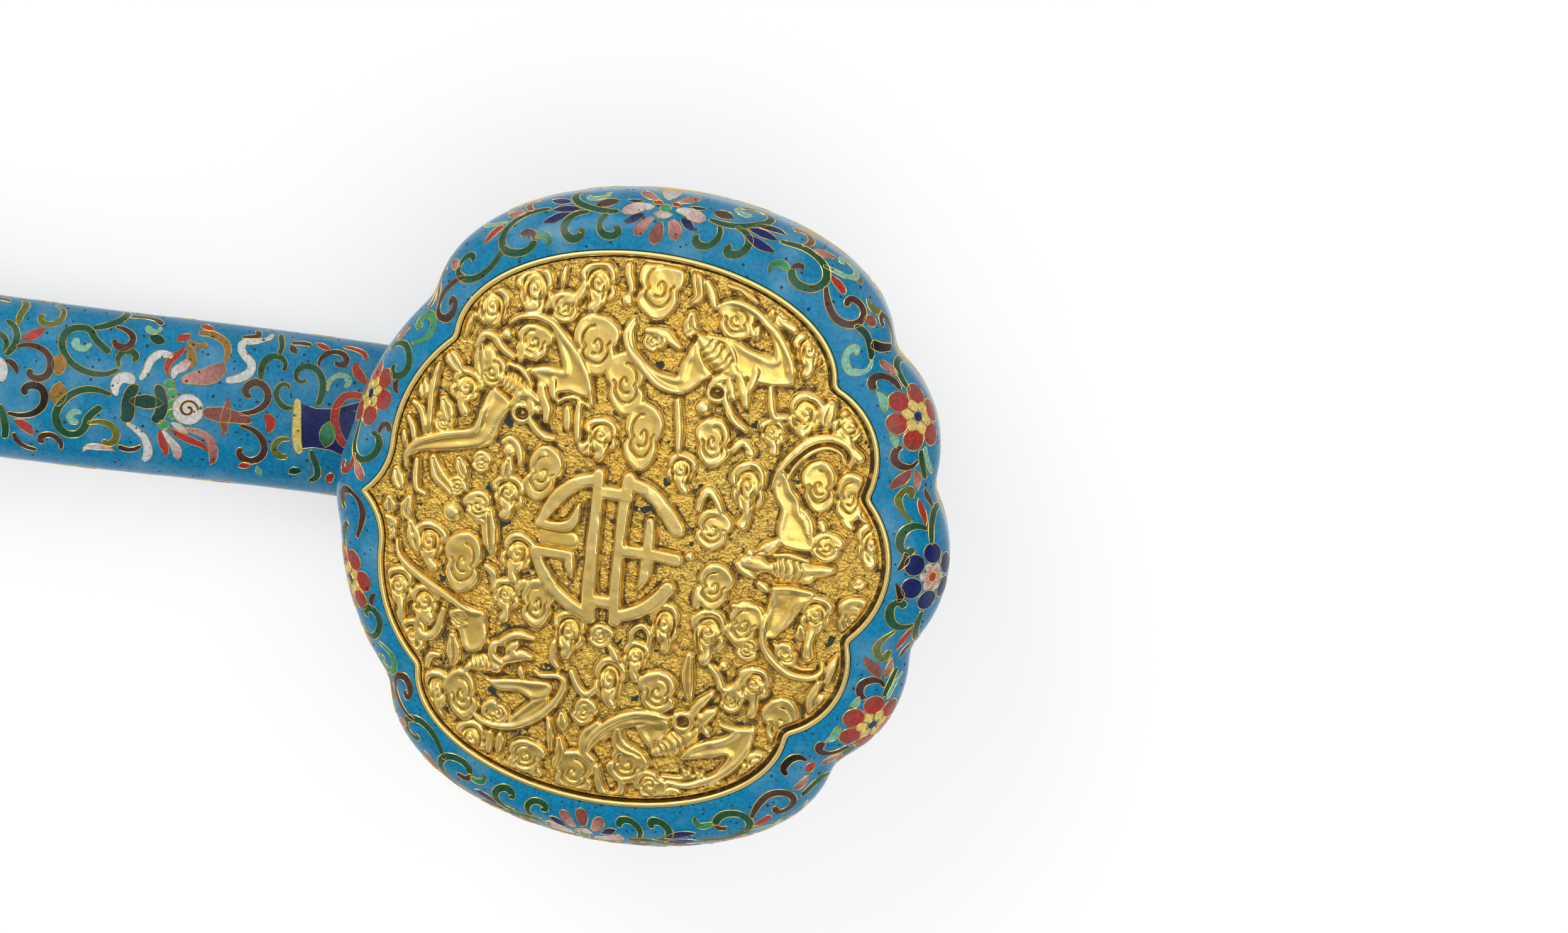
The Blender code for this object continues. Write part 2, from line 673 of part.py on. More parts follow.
def route(moves, start):
    """Points of the shaft's axis as (distance, height, heading), from straights and arcs."""
    x, z = start
    heading = 0.0
    points = [(x, z, heading)]
    for length, turn, steps in moves:
        for _ in range(steps):
            step = length / steps
            middle = heading + turn / steps / 2
            half = turn / steps / 2
            chord = step if abs(half) < 1e-9 else step * math.sin(half) / half
            x += chord * math.cos(middle)
            z += chord * math.sin(middle)
            heading += turn / steps
            points.append((x, z, heading))
    return points


def s_curve(run, drop):
    """Two equal arcs that lower the shaft over a run: lengths and turns."""
    angle = 2 * math.atan(drop / run)
    radius = run / (2 * math.sin(angle))
    return [(radius * angle, -angle, 4), (radius * angle, angle, 4)]


def oval(half_width, half_height, bottom, grown, upper):
    """Half of the shaft's section as (across, up) points, from the +Y side to the -Y side."""
    sides = 8
    points = []
    for side in range(sides + 1):
        angle = math.pi * side / sides
        cosine = math.cos(angle)
        across = math.copysign(abs(cosine) ** (2 / OVAL_POWER), cosine) * (half_width + grown)
        up = math.sin(angle) ** (2 / OVAL_POWER) * (half_height + grown)
        up = max(up, SEAM_GAP / 2)
        if not upper:
            up = -min(up, bottom + grown)
        points.append((across, up))
    return points


def section_place(point, along, mirror):
    """World place of a section point at a place on the route."""
    across, up = point
    x, z, heading = along
    return (mirror * (x - up * math.sin(heading)), across, z + up * math.cos(heading))


def section_sizes(points, joint_from):
    """Half width, half height and underside at each route point."""
    sizes = []
    last = len(points) - 1
    for index in range(len(points)):
        share = 0.0
        if joint_from is not None and index > joint_from:
            share = (index - joint_from) / (last - joint_from)
            share = share * share * (3 - 2 * share)
        along = index / last if joint_from is None else min(1.0, index / joint_from)
        start = NECK_HALF_WIDTH if joint_from is not None else SHAFT_HALF_WIDTH
        wide = SHAFT_HALF_WIDTH + (start - SHAFT_HALF_WIDTH) * along
        wide += (JOINT_HALF_WIDTH - wide) * share
        high = SHAFT_HALF_HEIGHT + (JOINT_HALF_HEIGHT - SHAFT_HALF_HEIGHT) * share
        sizes.append((wide, high, high - UNDERSIDE_FLAT))
    return sizes


def make_shaft_half(name, points, sizes, mirror, upper, parent):
    """One half shell of a stretch of shaft."""
    bm = bmesh.new()
    rings = []
    for along, (wide, high, bottom) in zip(points, sizes):
        outer = oval(wide, high, bottom, 0.0, upper)
        inner = oval(wide, high, bottom, -SHAFT_WALL, upper)
        section = outer + inner[::-1]
        rings.append([bm.verts.new(section_place(point, along, mirror)) for point in section])
    for first, second in zip(rings, rings[1:]):
        skin(bm, first, second)
    for end in (rings[0], rings[-1]):
        count = len(end)
        for index in range(count // 2 - 1):
            bm.faces.new((end[index], end[index + 1], end[count - 2 - index], end[count - 1 - index]))
    return add_piece(name, bm, parent, ENAMEL)


def shaft_plug(name, start, end, height, mirror, parent):
    """A cutter with the shaft's section and its clearance, straight along X."""
    full = oval(SHAFT_HALF_WIDTH, SHAFT_HALF_HEIGHT, SHAFT_HALF_HEIGHT - UNDERSIDE_FLAT, CLEARANCE, True)
    low = oval(SHAFT_HALF_WIDTH, SHAFT_HALF_HEIGHT, SHAFT_HALF_HEIGHT - UNDERSIDE_FLAT, CLEARANCE, False)
    section = full + low[::-1]
    bm = bmesh.new()
    rings = []
    for x in (start, end):
        rings.append([bm.verts.new(section_place(point, (x, height, 0.0), mirror)) for point in section])
    skin(bm, *rings)
    bm.faces.new(rings[0])
    bm.faces.new(rings[1])
    return add_cutter(name, bm, parent)


def section_ring(half_width, half_height, grown):
    """The joint's whole section as an outline round the u, v plane of the head."""
    bottom = half_height - UNDERSIDE_FLAT
    upper = oval(half_width, half_height, bottom, grown, True)
    lower = oval(half_width, half_height, bottom, grown, False)
    ring = [Vector((-up, across)) for across, up in upper + lower[::-1][1:-1]]
    return ring


def make_loop(box):
    """The gilt ring for a tassel, with a stem into the tail box."""
    reach = TAIL_HALF_LENGTH + BOX_RIM
    outside = reach + 2 * CLEARANCE + ROSETTE_THICKNESS
    centre = outside + LOOP_RADIUS + LOOP_WIRE / 2
    bm = bmesh.new()
    rings = []
    sides, rounds = 8, 20
    for step in range(rounds):
        angle = 2 * math.pi * step / rounds
        ring = []
        for side in range(sides):
            tube = 2 * math.pi * side / sides
            radius = LOOP_RADIUS + LOOP_WIRE / 2 * math.cos(tube)
            ring.append(bm.verts.new((centre + radius * math.cos(angle), radius * math.sin(angle),
                                      -BOX_ABOVE_SHAFT + LOOP_WIRE / 2 * math.sin(tube))))
        rings.append(ring)
    for index, ring in enumerate(rings):
        skin(bm, rings[index - 1], ring)
    loop = add_piece("tassel_loop", bm, box.frame, GILT)
    start = reach - LOOP_STEM_IN_SHELL
    end = centre - LOOP_RADIUS
    stem = add_cutter("loop_stem", rod(start, end, LOOP_STEM / 2), box.frame)
    shape_with(loop, stem, "UNION")
    hole = add_cutter("loop_hole", rod(start - 0.002, outside + 0.002, LOOP_STEM / 2 + CLEARANCE), box.frame)
    disc = rod(reach + CLEARANCE, reach + CLEARANCE + ROSETTE_THICKNESS, ROSETTE_RADIUS, 20)
    rosette = add_piece("loop_rosette", disc, box.frame, GILT)
    shape_with(rosette, hole, "DIFFERENCE")
    return hole


def rod(start, end, radius, sides=12):
    """A round rod along u at the height of the shaft's axis."""
    bm = bmesh.new()
    rings = []
    for u in (start, end):
        ring = []
        for side in range(sides):
            angle = 2 * math.pi * side / sides
            ring.append(bm.verts.new((u, radius * math.cos(angle), -BOX_ABOVE_SHAFT + radius * math.sin(angle))))
        rings.append(ring)
    skin(bm, *rings)
    bm.faces.new(rings[0])
    bm.faces.new(rings[1])
    return bm


def make_box(box, relief):
    """All pieces of one box, by name."""
    return {"shell": make_shell(box), "back_plate": make_back_plate(box), "bezel": make_bezel(box),
            "plaque": make_plaque(box, relief), "bed": make_bed(box)}


def bar(start, end, half_width, half_height, grown=0.0):
    """A rectangular bar along u at the height of the shaft's axis."""
    return block((start, -half_width - grown, -BOX_ABOVE_SHAFT - half_height - grown),
                 (end, half_width + grown, -BOX_ABOVE_SHAFT + half_height + grown))


def build():
    clear_scene()
    scepter = add_frame("ruyi", (0, 0, 0), (0, 0, 0), None)

    # Heights: the neck and the tail box both rest on the ground plane
    neck_axis = SHAFT_HALF_HEIGHT - UNDERSIDE_FLAT
    middle_axis = neck_axis + HEAD_DROP
    tail_axis = BOX_DEPTH - BOX_ABOVE_SHAFT
    entry = MIDDLE_HALF_LENGTH + BOX_RIM - SHAFT_ENTRY

    # Head side of the shaft
    hook_turn = math.pi / 2 + HEAD_TILT
    to_neck = [(STRAIGHT_BY_BOX, 0.0, 1)] + s_curve(HEAD_RUN, HEAD_DROP) + [(NECK_LENGTH, 0.0, 1)]
    hook = [(HOOK_RADIUS * hook_turn, hook_turn, 10), (HOOK_STRAIGHT - CLEARANCE, 0.0, 1)]
    head_points = route(to_neck + hook, (entry, middle_axis))
    neck_index = sum(move[2] for move in to_neck)
    head_sizes = section_sizes(head_points, neck_index)
    make_shaft_half("shaft_head_front", head_points, head_sizes, 1, True, scepter)
    make_shaft_half("shaft_head_back", head_points, head_sizes, 1, False, scepter)

    # Head, on the end of the hook
    x, z, heading = head_points[-1]
    rise = CLEARANCE + HEAD_DEPTH
    head_at = (x + rise * math.cos(heading), 0, z + rise * math.sin(heading))
    head_frame = add_frame("head_frame", head_at, (0, -HEAD_TILT, 0), scepter)
    head = Box("head", head_frame, head_outlines(), HEAD_DEPTH, HEAD_BULGE, HEAD_DOME)
    head_pieces = make_box(head, head_relief)
    tenon_end = -HEAD_DEPTH + BACK_PLATE + CLEARANCE + NECK_TENON_IN_BED
    tenon_half = (NECK_TENON_HEIGHT / 2, NECK_TENON_WIDTH / 2)
    tenon = block((-tenon_half[0], -tenon_half[1], -HEAD_DEPTH - NECK_TENON_IN_SHAFT),
                  (tenon_half[0], tenon_half[1], tenon_end))
    add_piece("neck_tenon", tenon, head_frame, GILT)
    socket_half = (tenon_half[0] + CLEARANCE, tenon_half[1] + CLEARANCE)
    socket = block((-socket_half[0], -socket_half[1], -HEAD_DEPTH - NECK_TENON_IN_SHAFT),
                   (socket_half[0], socket_half[1], tenon_end + CLEARANCE))
    socket_cutter = add_cutter("neck_socket", socket, head_frame)
    shape_with(head_pieces["back_plate"], socket_cutter, "DIFFERENCE")
    shape_with(head_pieces["bed"], socket_cutter, "DIFFERENCE")
    collar_top = -HEAD_DEPTH - CLEARANCE
    inner = section_ring(JOINT_HALF_WIDTH, JOINT_HALF_HEIGHT, CLEARANCE)
    belly = section_ring(JOINT_HALF_WIDTH, JOINT_HALF_HEIGHT, CLEARANCE + COLLAR_WALL)
    foot = section_ring(JOINT_HALF_WIDTH, JOINT_HALF_HEIGHT, CLEARANCE + COLLAR_WALL / 2)
    collar = ring_body([(inner, collar_top - COLLAR_HEIGHT), (foot, collar_top - COLLAR_HEIGHT),
                        (belly, collar_top - COLLAR_HEIGHT / 2), (belly, collar_top), (inner, collar_top)])
    add_piece("neck_collar", collar, head_frame, GILT)

    # Middle box
    middle_frame = add_frame("middle_frame", (0, 0, middle_axis + BOX_ABOVE_SHAFT), (0, 0, 0), scepter)
    middle_lines = box_outlines(MIDDLE_HALF_LENGTH, MIDDLE_HALF_WIDTH, MIDDLE_NOTCH)
    middle = Box("middle", middle_frame, middle_lines, BOX_DEPTH, BOX_BULGE, BOX_DOME)
    middle_pieces = make_box(middle, middle_relief)
    for side, mirror in (("head", 1), ("tail", -1)):
        plug = shaft_plug("middle_hole_" + side, entry - CLEARANCE, entry + 3 * SHAFT_ENTRY, middle_axis,
                          mirror, scepter)
        shape_with(middle_pieces["shell"], plug, "DIFFERENCE")
    reach = entry + TENON_IN_SHAFT
    add_piece("middle_tenon", bar(-reach, reach, TENON_WIDTH / 2, TENON_HEIGHT / 2), middle_frame, BED)
    channel = bar(-reach, reach, TENON_WIDTH / 2, TENON_HEIGHT / 2, CLEARANCE)
    channel_cutter = add_cutter("middle_channel", channel, middle_frame)
    shape_with(middle_pieces["bed"], channel_cutter, "DIFFERENCE")

    # Tail side of the shaft, drawn along +X and mirrored
    tail_drop = middle_axis - tail_axis
    to_tail = [(STRAIGHT_BY_BOX, 0.0, 1)] + s_curve(TAIL_RUN, tail_drop) + [(STRAIGHT_BY_BOX, 0.0, 1)]
    tail_points = route(to_tail, (entry, middle_axis))
    tail_sizes = section_sizes(tail_points, None)
    make_shaft_half("shaft_tail_front", tail_points, tail_sizes, -1, True, scepter)
    make_shaft_half("shaft_tail_back", tail_points, tail_sizes, -1, False, scepter)

    # Tail box, turned so that its tip points to the end
    shaft_end = tail_points[-1][0]
    tail_centre = shaft_end - SHAFT_ENTRY + TAIL_HALF_LENGTH + BOX_RIM
    tail_frame = add_frame("tail_frame", (-tail_centre, 0, BOX_DEPTH), (0, 0, math.pi), scepter)
    tail_lines = box_outlines(TAIL_HALF_LENGTH, TAIL_HALF_WIDTH, TAIL_NOTCH)
    tail = Box("tail", tail_frame, tail_lines, BOX_DEPTH, BOX_BULGE, BOX_DOME)
    tail_pieces = make_box(tail, tail_relief)
    plug = shaft_plug("tail_hole", shaft_end - 3 * SHAFT_ENTRY, shaft_end + CLEARANCE, tail_axis, -1, scepter)
    shape_with(tail_pieces["shell"], plug, "DIFFERENCE")
    inner_end = -tail_centre + shaft_end
    tenon_from = inner_end - TENON_IN_SHAFT
    tenon_to = inner_end + TAIL_TENON_IN_BED
    add_piece("tail_tenon", bar(tenon_from, tenon_to, TENON_WIDTH / 2, TENON_HEIGHT / 2), tail_frame, BED)
    channel = bar(tenon_from, tenon_to + CLEARANCE, TENON_WIDTH / 2, TENON_HEIGHT / 2, CLEARANCE)
    channel_cutter = add_cutter("tail_channel", channel, tail_frame)
    shape_with(tail_pieces["bed"], channel_cutter, "DIFFERENCE")
    stem_hole = make_loop(tail)
    shape_with(tail_pieces["shell"], stem_hole, "DIFFERENCE")

    centre_on_origin(scepter)


def centre_on_origin(scepter):
    """Move the whole scepter so that its box stands centred on the origin."""
    bpy.context.view_layer.update()
    low = Vector((math.inf,) * 3)
    high = Vector((-math.inf,) * 3)
    for piece in bpy.data.objects:
        if piece.type != "MESH" or piece.hide_render:
            continue
        for vertex in piece.data.vertices:
            place = piece.matrix_world @ vertex.co
            low = Vector(map(min, low, place))
            high = Vector(map(max, high, place))
    scepter.location = (-(low.x + high.x) / 2, -(low.y + high.y) / 2, -low.z)


build()
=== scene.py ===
import math

import bpy
import numpy as np
from mathutils import Matrix, Vector


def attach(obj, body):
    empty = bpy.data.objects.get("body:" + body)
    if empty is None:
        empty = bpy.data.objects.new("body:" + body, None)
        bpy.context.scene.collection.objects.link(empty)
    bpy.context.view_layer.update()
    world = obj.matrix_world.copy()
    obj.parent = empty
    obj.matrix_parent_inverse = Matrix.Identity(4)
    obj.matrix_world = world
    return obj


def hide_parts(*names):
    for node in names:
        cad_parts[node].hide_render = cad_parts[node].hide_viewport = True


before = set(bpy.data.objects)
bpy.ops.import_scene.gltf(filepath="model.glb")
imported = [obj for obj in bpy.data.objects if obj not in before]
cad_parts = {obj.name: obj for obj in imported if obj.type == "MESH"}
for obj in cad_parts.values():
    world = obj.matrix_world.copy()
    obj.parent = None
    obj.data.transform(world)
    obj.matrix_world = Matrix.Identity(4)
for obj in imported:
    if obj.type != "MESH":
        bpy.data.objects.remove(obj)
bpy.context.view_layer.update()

# The studio
# A pale floor under a white backdrop with soft lamps, and a camera nearly over the head.
# The scepter lies on its back, its head to the right, and its shaft leaves the picture.

scene = bpy.context.scene
scene.view_settings.view_transform = "Standard"
MM = 0.001
CAMERA_AT = (225.82, 177.53, 680.40)         # millimetres, as all lengths below
CAMERA_TURN = (-13.9393, 5.1151, 7.7691)     # degrees
LENS = 86.319
SENSOR = 36.0
FLOOR_HALF = 3.0                             # metres
FLOOR_COLOUR = (0.56, 0.55, 0.54, 1.0)
FLOOR_LIFT = 0.52                            # what the backdrop adds to the floor for the camera
ROOM_LIGHT = 0.60                            # strength of the backdrop as light
ROOM_KEY = (-0.45, 0.65, 0.60)               # the way to the bright side of the room
ROOM_DIM = 0.20                              # the backdrop on the far side, against white at the key
WHITE = (1, 1, 1, 1)
BLACK = (0, 0, 0, 1)


def add_node(tree, kind, inputs=None, **settings):
    """Add a node and set it up. An input is a value or another node's socket."""
    made = tree.nodes.new(kind)
    for name, value in settings.items():
        setattr(made, name, value)
    for name, value in (inputs or {}).items():
        if isinstance(value, bpy.types.NodeSocket):
            tree.links.new(value, made.inputs[name])
        else:
            made.inputs[name].default_value = value
    return made


def ramp(tree, factor, low, high, first=BLACK, last=WHITE):
    """Colours that run from first to last while the factor goes from low to high."""
    made = add_node(tree, "ShaderNodeValToRGB", {"Fac": factor})
    made.color_ramp.elements[0].position = low
    made.color_ramp.elements[0].color = first
    made.color_ramp.elements[1].position = high
    made.color_ramp.elements[1].color = last
    return made.outputs["Color"]


def mix(tree, factor, first, second, blend="MIX"):
    """Mix two colours."""
    inputs = {0: factor, 6: first, 7: second}
    return add_node(tree, "ShaderNodeMix", inputs, data_type="RGBA", blend_type=blend).outputs[2]


def number(tree, operation, *values):
    """A sum on two or three numbers or sockets, kept between 0 and 1."""
    inputs = dict(enumerate(values))
    return add_node(tree, "ShaderNodeMath", inputs, operation=operation, use_clamp=True).outputs[0]


def background_rays(tree):
    """1 for rays from the camera and for rays by way of metal or glass, otherwise 0."""
    rays = add_node(tree, "ShaderNodeLightPath").outputs
    first = number(tree, "MAXIMUM", rays["Is Camera Ray"], rays["Is Glossy Ray"])
    return number(tree, "MAXIMUM", first, rays["Is Transmission Ray"])


def new_material(name, plain=None):
    """A material with its node tree and its shader, some of whose sockets get plain values."""
    made = bpy.data.materials.new(name)
    made.use_nodes = True
    shader = made.node_tree.nodes["Principled BSDF"]
    for socket, value in (plain or {}).items():
        shader.inputs[socket].default_value = value
    return made, made.node_tree, shader


camera = bpy.data.objects.new("camera", bpy.data.cameras.new("camera"))
scene.collection.objects.link(camera)
camera.location = Vector(CAMERA_AT) * MM
camera.rotation_euler = [math.radians(angle) for angle in CAMERA_TURN]
camera.data.lens = LENS
camera.data.sensor_width = SENSOR
camera.data.clip_start = 0.01
scene.camera = camera

room = bpy.data.worlds.new("room")
room.use_nodes = True
scene.world = room
tree = room.node_tree
tree.nodes.clear()
outward = add_node(tree, "ShaderNodeTexCoord").outputs["Generated"]
toward_key = add_node(tree, "ShaderNodeVectorMath", {0: outward, 1: ROOM_KEY}, operation="DOT_PRODUCT")
sides = ramp(tree, toward_key.outputs["Value"], 0.0, 0.95, (ROOM_DIM, ROOM_DIM, ROOM_DIM, 1))
way_up = add_node(tree, "ShaderNodeSeparateXYZ", {0: outward})
low = ramp(tree, way_up.outputs["Z"], 0.04, 0.30, WHITE, BLACK)
seen = add_node(tree, "ShaderNodeBackground", {"Color": mix(tree, low, sides, WHITE), "Strength": 1.0})
light = add_node(tree, "ShaderNodeBackground", {"Color": WHITE, "Strength": ROOM_LIGHT})
shares = {0: background_rays(tree), 1: light.outputs[0], 2: seen.outputs[0]}
mixed = add_node(tree, "ShaderNodeMixShader", shares)
add_node(tree, "ShaderNodeOutputWorld", {"Surface": mixed.outputs[0]})

bpy.ops.mesh.primitive_plane_add(size=2 * FLOOR_HALF)
floor = bpy.context.object
floor.name = "floor"
paper, tree, shader = new_material("floor_paper", {"Base Color": FLOOR_COLOUR, "Roughness": 0.9,
                                                   "Specular IOR Level": 0.0, "Emission Color": WHITE})
lift = number(tree, "MULTIPLY", background_rays(tree), FLOOR_LIFT)
tree.links.new(lift, shader.inputs["Emission Strength"])
floor.data.materials.append(paper)

for name, place, target, size, watts in (
        ("window", (-260, 600, 700), (120, 0, 40), 460, 2.3),
        ("softbox", (480, 150, 1150), (120, 0, 40), 900, 3.1),
        ("low_fill", (500, -500, 420), (140, 0, 40), 500, 0.4)):
    lamp = bpy.data.objects.new(name, bpy.data.lights.new(name, "AREA"))
    scene.collection.objects.link(lamp)
    lamp.data.energy = watts
    lamp.data.size = size * MM
    lamp.location = Vector(place) * MM
    lamp.rotation_euler = (Vector(target) - Vector(place)).to_track_quat("-Z", "Y").to_euler()

# Wooden beds and tenons
# Blocks of plain brown wood inside the three boxes, under the plaques. Tenons of the same wood
# join the boxes to the hollow shaft, and a gilt one carries the head. None shows from outside.

WOOD_DARK = (0.085, 0.040, 0.018, 1)
WOOD_LIGHT = (0.260, 0.150, 0.075, 1)


def noise(tree, scale, detail, place=None):
    """Cloudy noise on the piece's own coordinates, or on others."""
    if place is None:
        place = add_node(tree, "ShaderNodeTexCoord").outputs["Object"]
    made = add_node(tree, "ShaderNodeTexNoise", {"Vector": place, "Scale": scale, "Detail": detail})
    return made.outputs["Fac"]


def bumpy(tree, height, strength, distance, normal):
    """Let a height show in the shading, by way of a socket for normals."""
    made = add_node(tree, "ShaderNodeBump", {"Height": height, "Strength": strength, "Distance": distance})
    tree.links.new(made.outputs[0], normal)


def dress(node, material):
    """Give a carried-over piece its finish."""
    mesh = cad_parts[node].data
    mesh.materials.clear()
    mesh.materials.append(material)


wood, tree, shader = new_material("bed_wood", {"Roughness": 0.75})
place = add_node(tree, "ShaderNodeTexCoord").outputs["Object"]
stretched = add_node(tree, "ShaderNodeMapping", {"Vector": place, "Scale": (60, 900, 900)}).outputs[0]
grain = noise(tree, 1.0, 5.0, stretched)
tree.links.new(ramp(tree, grain, 0.32, 0.68, WOOD_DARK, WOOD_LIGHT), shader.inputs["Base Color"])
bumpy(tree, grain, 0.3, 0.0004, shader.inputs["Normal"])
for node in ("head_bed", "middle_bed", "tail_bed", "middle_tenon", "tail_tenon"):
    dress(node, wood)

# Gilding
# The gilt copper of the plaques, bezels, collar, loop and wires. Ridges are painted lighter as rubbed
# wear and painted highlight, hollows darker as packed soil and painted shade, and soil specks the
# punched ground between the raised shapes.

GOLD = (0.830, 0.570, 0.130, 1)
# Lighter gold for ridges: rubbed wear and a painted highlight.
RUBBED_AND_HIGHLIT_GOLD = (0.920, 0.725, 0.300, 1)
# Darker gold painted into the creases as shade.
CREASE_SHADE_GOLD = (0.560, 0.370, 0.090, 1)
# Brown for soil on the ground and in the creases, where it is also painted shade.
GOLD_SOIL_AND_SHADE = (0.070, 0.038, 0.012, 1)
GREEN_SOIL = (0.030, 0.042, 0.032, 1)


def new_group(name, inputs, outputs):
    """An empty node group with named inputs and outputs, and its end nodes."""
    group = bpy.data.node_groups.new(name, "ShaderNodeTree")
    for direction, sockets in (("INPUT", inputs), ("OUTPUT", outputs)):
        for socket, kind, value in sockets:
            made = group.interface.new_socket(socket, in_out=direction, socket_type="NodeSocket" + kind)
            if value is not None:
                made.default_value = value
    return group, group.nodes.new("NodeGroupInput").outputs, group.nodes.new("NodeGroupOutput").inputs


def fill_group(made, group, shares):
    """Place a node group in a material and join its outputs to the shader's sockets of that name.
    Each of its inputs gets a value or the name of an attribute of the piece."""
    placed = add_node(made.node_tree, "ShaderNodeGroup", node_tree=group)
    for name, share in shares.items():
        socket = placed.inputs[name]
        if isinstance(share, str):
            found = add_node(made.node_tree, "ShaderNodeAttribute", attribute_name=share)
            made.node_tree.links.new(found.outputs["Color" if name == "Colour" else "Fac"], socket)
        else:
            socket.default_value = share
    shader = made.node_tree.nodes["Principled BSDF"]
    for output in placed.outputs:
        name = "Base Color" if output.name == "Colour" else output.name
        made.node_tree.links.new(output, shader.inputs[name])


gilding, given, result = new_group(
    "gilding",
    [("Crease_shade_and_soil", "Float", 0.0), ("Ridge_wear_and_highlight", "Float", 0.0), ("Ground", "Float", 0.0)],
    [("Colour", "Color", None), ("Roughness", "Float", None), ("Metallic", "Float", None),
     ("Normal", "Vector", None)])
tree = gilding
broad, patchy = noise(tree, 90.0, 3.0), noise(tree, 700.0, 4.0)
fine, blotch = noise(tree, 2600.0, 3.0), noise(tree, 330.0, 2.0)
warm = mix(tree, ramp(tree, broad, 0.35, 0.68), (GOLD[0], GOLD[1] * 0.92, GOLD[2] * 0.72, 1), GOLD)
# Ridges painted lighter, as rubbed wear and as a painted highlight.
bright = mix(tree, number(tree, "MULTIPLY", given["Ridge_wear_and_highlight"], 0.85), warm, RUBBED_AND_HIGHLIT_GOLD)
# Creases painted towards a darker gold, as painted shade.
deep = mix(tree, number(tree, "MULTIPLY", given["Crease_shade_and_soil"], 0.9), bright, CREASE_SHADE_GOLD)
flecks = number(tree, "MULTIPLY_ADD", fine, 0.6, number(tree, "MULTIPLY", patchy, 0.4))
speck = ramp(tree, flecks, 0.52, 0.60)
ground_soil = number(tree, "MULTIPLY", speck, given["Ground"])
# Soil packed in the creases, which also paints them dark as shade.
crease_soil_and_shade = number(tree, "MULTIPLY", ramp(tree, given["Crease_shade_and_soil"], 0.20, 0.70), ramp(tree, patchy, 0.30, 0.50))
soil_and_shade = number(tree, "MULTIPLY_ADD", ground_soil, 0.70, number(tree, "MULTIPLY", crease_soil_and_shade, 0.85))
stain = number(tree, "MULTIPLY", ramp(tree, blotch, 0.65, 0.67), given["Ground"])
shaded_and_soiled = mix(tree, stain, mix(tree, soil_and_shade, deep, GOLD_SOIL_AND_SHADE), GREEN_SOIL)
soil_and_shade = number(tree, "MAXIMUM", soil_and_shade, stain)
tree.links.new(shaded_and_soiled, result["Colour"])
rough = number(tree, "MULTIPLY_ADD", fine, 0.06, 0.22)
rough = number(tree, "MULTIPLY_ADD", given["Ground"], 0.06, rough)
tree.links.new(number(tree, "MULTIPLY_ADD", soil_and_shade, 0.35, rough), result["Roughness"])
tree.links.new(number(tree, "SUBTRACT", 1.0, number(tree, "MULTIPLY", soil_and_shade, 0.80)), result["Metallic"])
pits = number(tree, "MULTIPLY", patchy, number(tree, "MULTIPLY_ADD", given["Ground"], 0.97, 0.03))
relief = number(tree, "MULTIPLY_ADD", fine, number(tree, "MULTIPLY_ADD", given["Ground"], 0.38, 0.02), pits)
bumpy(tree, relief, 0.8, 0.0010, result["Normal"])


def gilt_material(name, crease_shade_and_soil, ridge_wear_and_highlight, ground):
    """Gilt copper. Each share is a number or the name of an attribute of the piece."""
    made, _, _ = new_material(name)
    fill_group(made, gilding, {"Crease_shade_and_soil": crease_shade_and_soil, "Ridge_wear_and_highlight": ridge_wear_and_highlight, "Ground": ground})
    return made


smooth_gilt = gilt_material("smooth_gilt", 0.0, 0.25, 0.0)
dress("neck_tenon", smooth_gilt)

# Head shell
# The deep lobed rim of the head, one band of copper hammered to a C section and enamelled
# turquoise all over. Its upper edge holds the bezel, and its lower edge the back plate.

HEAD_CENTRE = (165.83, 0.0, 57.114)      # middle of the plane of the rim's upper edge
HEAD_TILT = 1.5                          # degrees that the head leans back
HEAD_TIP = 46.6
HEAD_SIDE = 49.8
HEAD_CUSP = 47.2
TIP_NOTCH = (41.2, 13.0)
FRONT_NOTCH = (33.0, 31.6)
REAR_NOTCH = (-33.8, 30.0)
OGEE_JOIN = (-42.7, 9.0)
TIP_NOTCH_RIM = (10.2, 7)                # width of the rim at a notch, and its direction
FRONT_NOTCH_RIM = (10.0, 34)
REAR_NOTCH_RIM = (7.4, 133)
OGEE_RIM = (8.6, 187)
CUSP_RIM = 5.4
TIP_RIM = 9.6
SIDE_RIM = 9.3
FRONT_LOBE_RISE = 4.1
REAR_LOBE_RISE = 2.4
OGEE_SAG = 1.1
HEAD_DEPTH = 22.0
RIM_BULGE = 8.0                          # from the upper edge down to the widest line
RIM_TUCK = 0.5                           # share of the rim's width left at the back edge
SHELL_WALL = 1.6
SHELL_LIP = 1.8
SKIN = 0.10                              # the enamel lies this far inside the rim's widest form
EDGE_SOFTNESS = 0.5                      # how far the notches are rounded, above and below
BELLY_SOFTNESS = 1.6
TURQUOISE = (0.003, 0.222, 0.425, 1)
GRAIN_DARK = (0.58, 0.62, 0.66, 1)       # what the grain does to the enamel's colour
GRAIN_LIGHT = (1.22, 1.18, 1.14, 1)
MILK = (0.42, 0.60, 0.66, 1)
PIT_SOIL = (0.018, 0.014, 0.010, 1)


def frame_matrix(centre, tilt=0.0, turn=0.0):
    """Where a box stands: its centre in millimetres, its lean and its turn in degrees."""
    lean = Matrix.Rotation(math.radians(-tilt), 4, "Y")
    return Matrix.Translation(Vector(centre)) @ Matrix.Rotation(math.radians(turn), 4, "Z") @ lean


def moved(point, distance, degrees):
    """A point moved by a distance in a direction."""
    angle = math.radians(degrees)
    return (point[0] + distance * math.cos(angle), point[1] + distance * math.sin(angle))


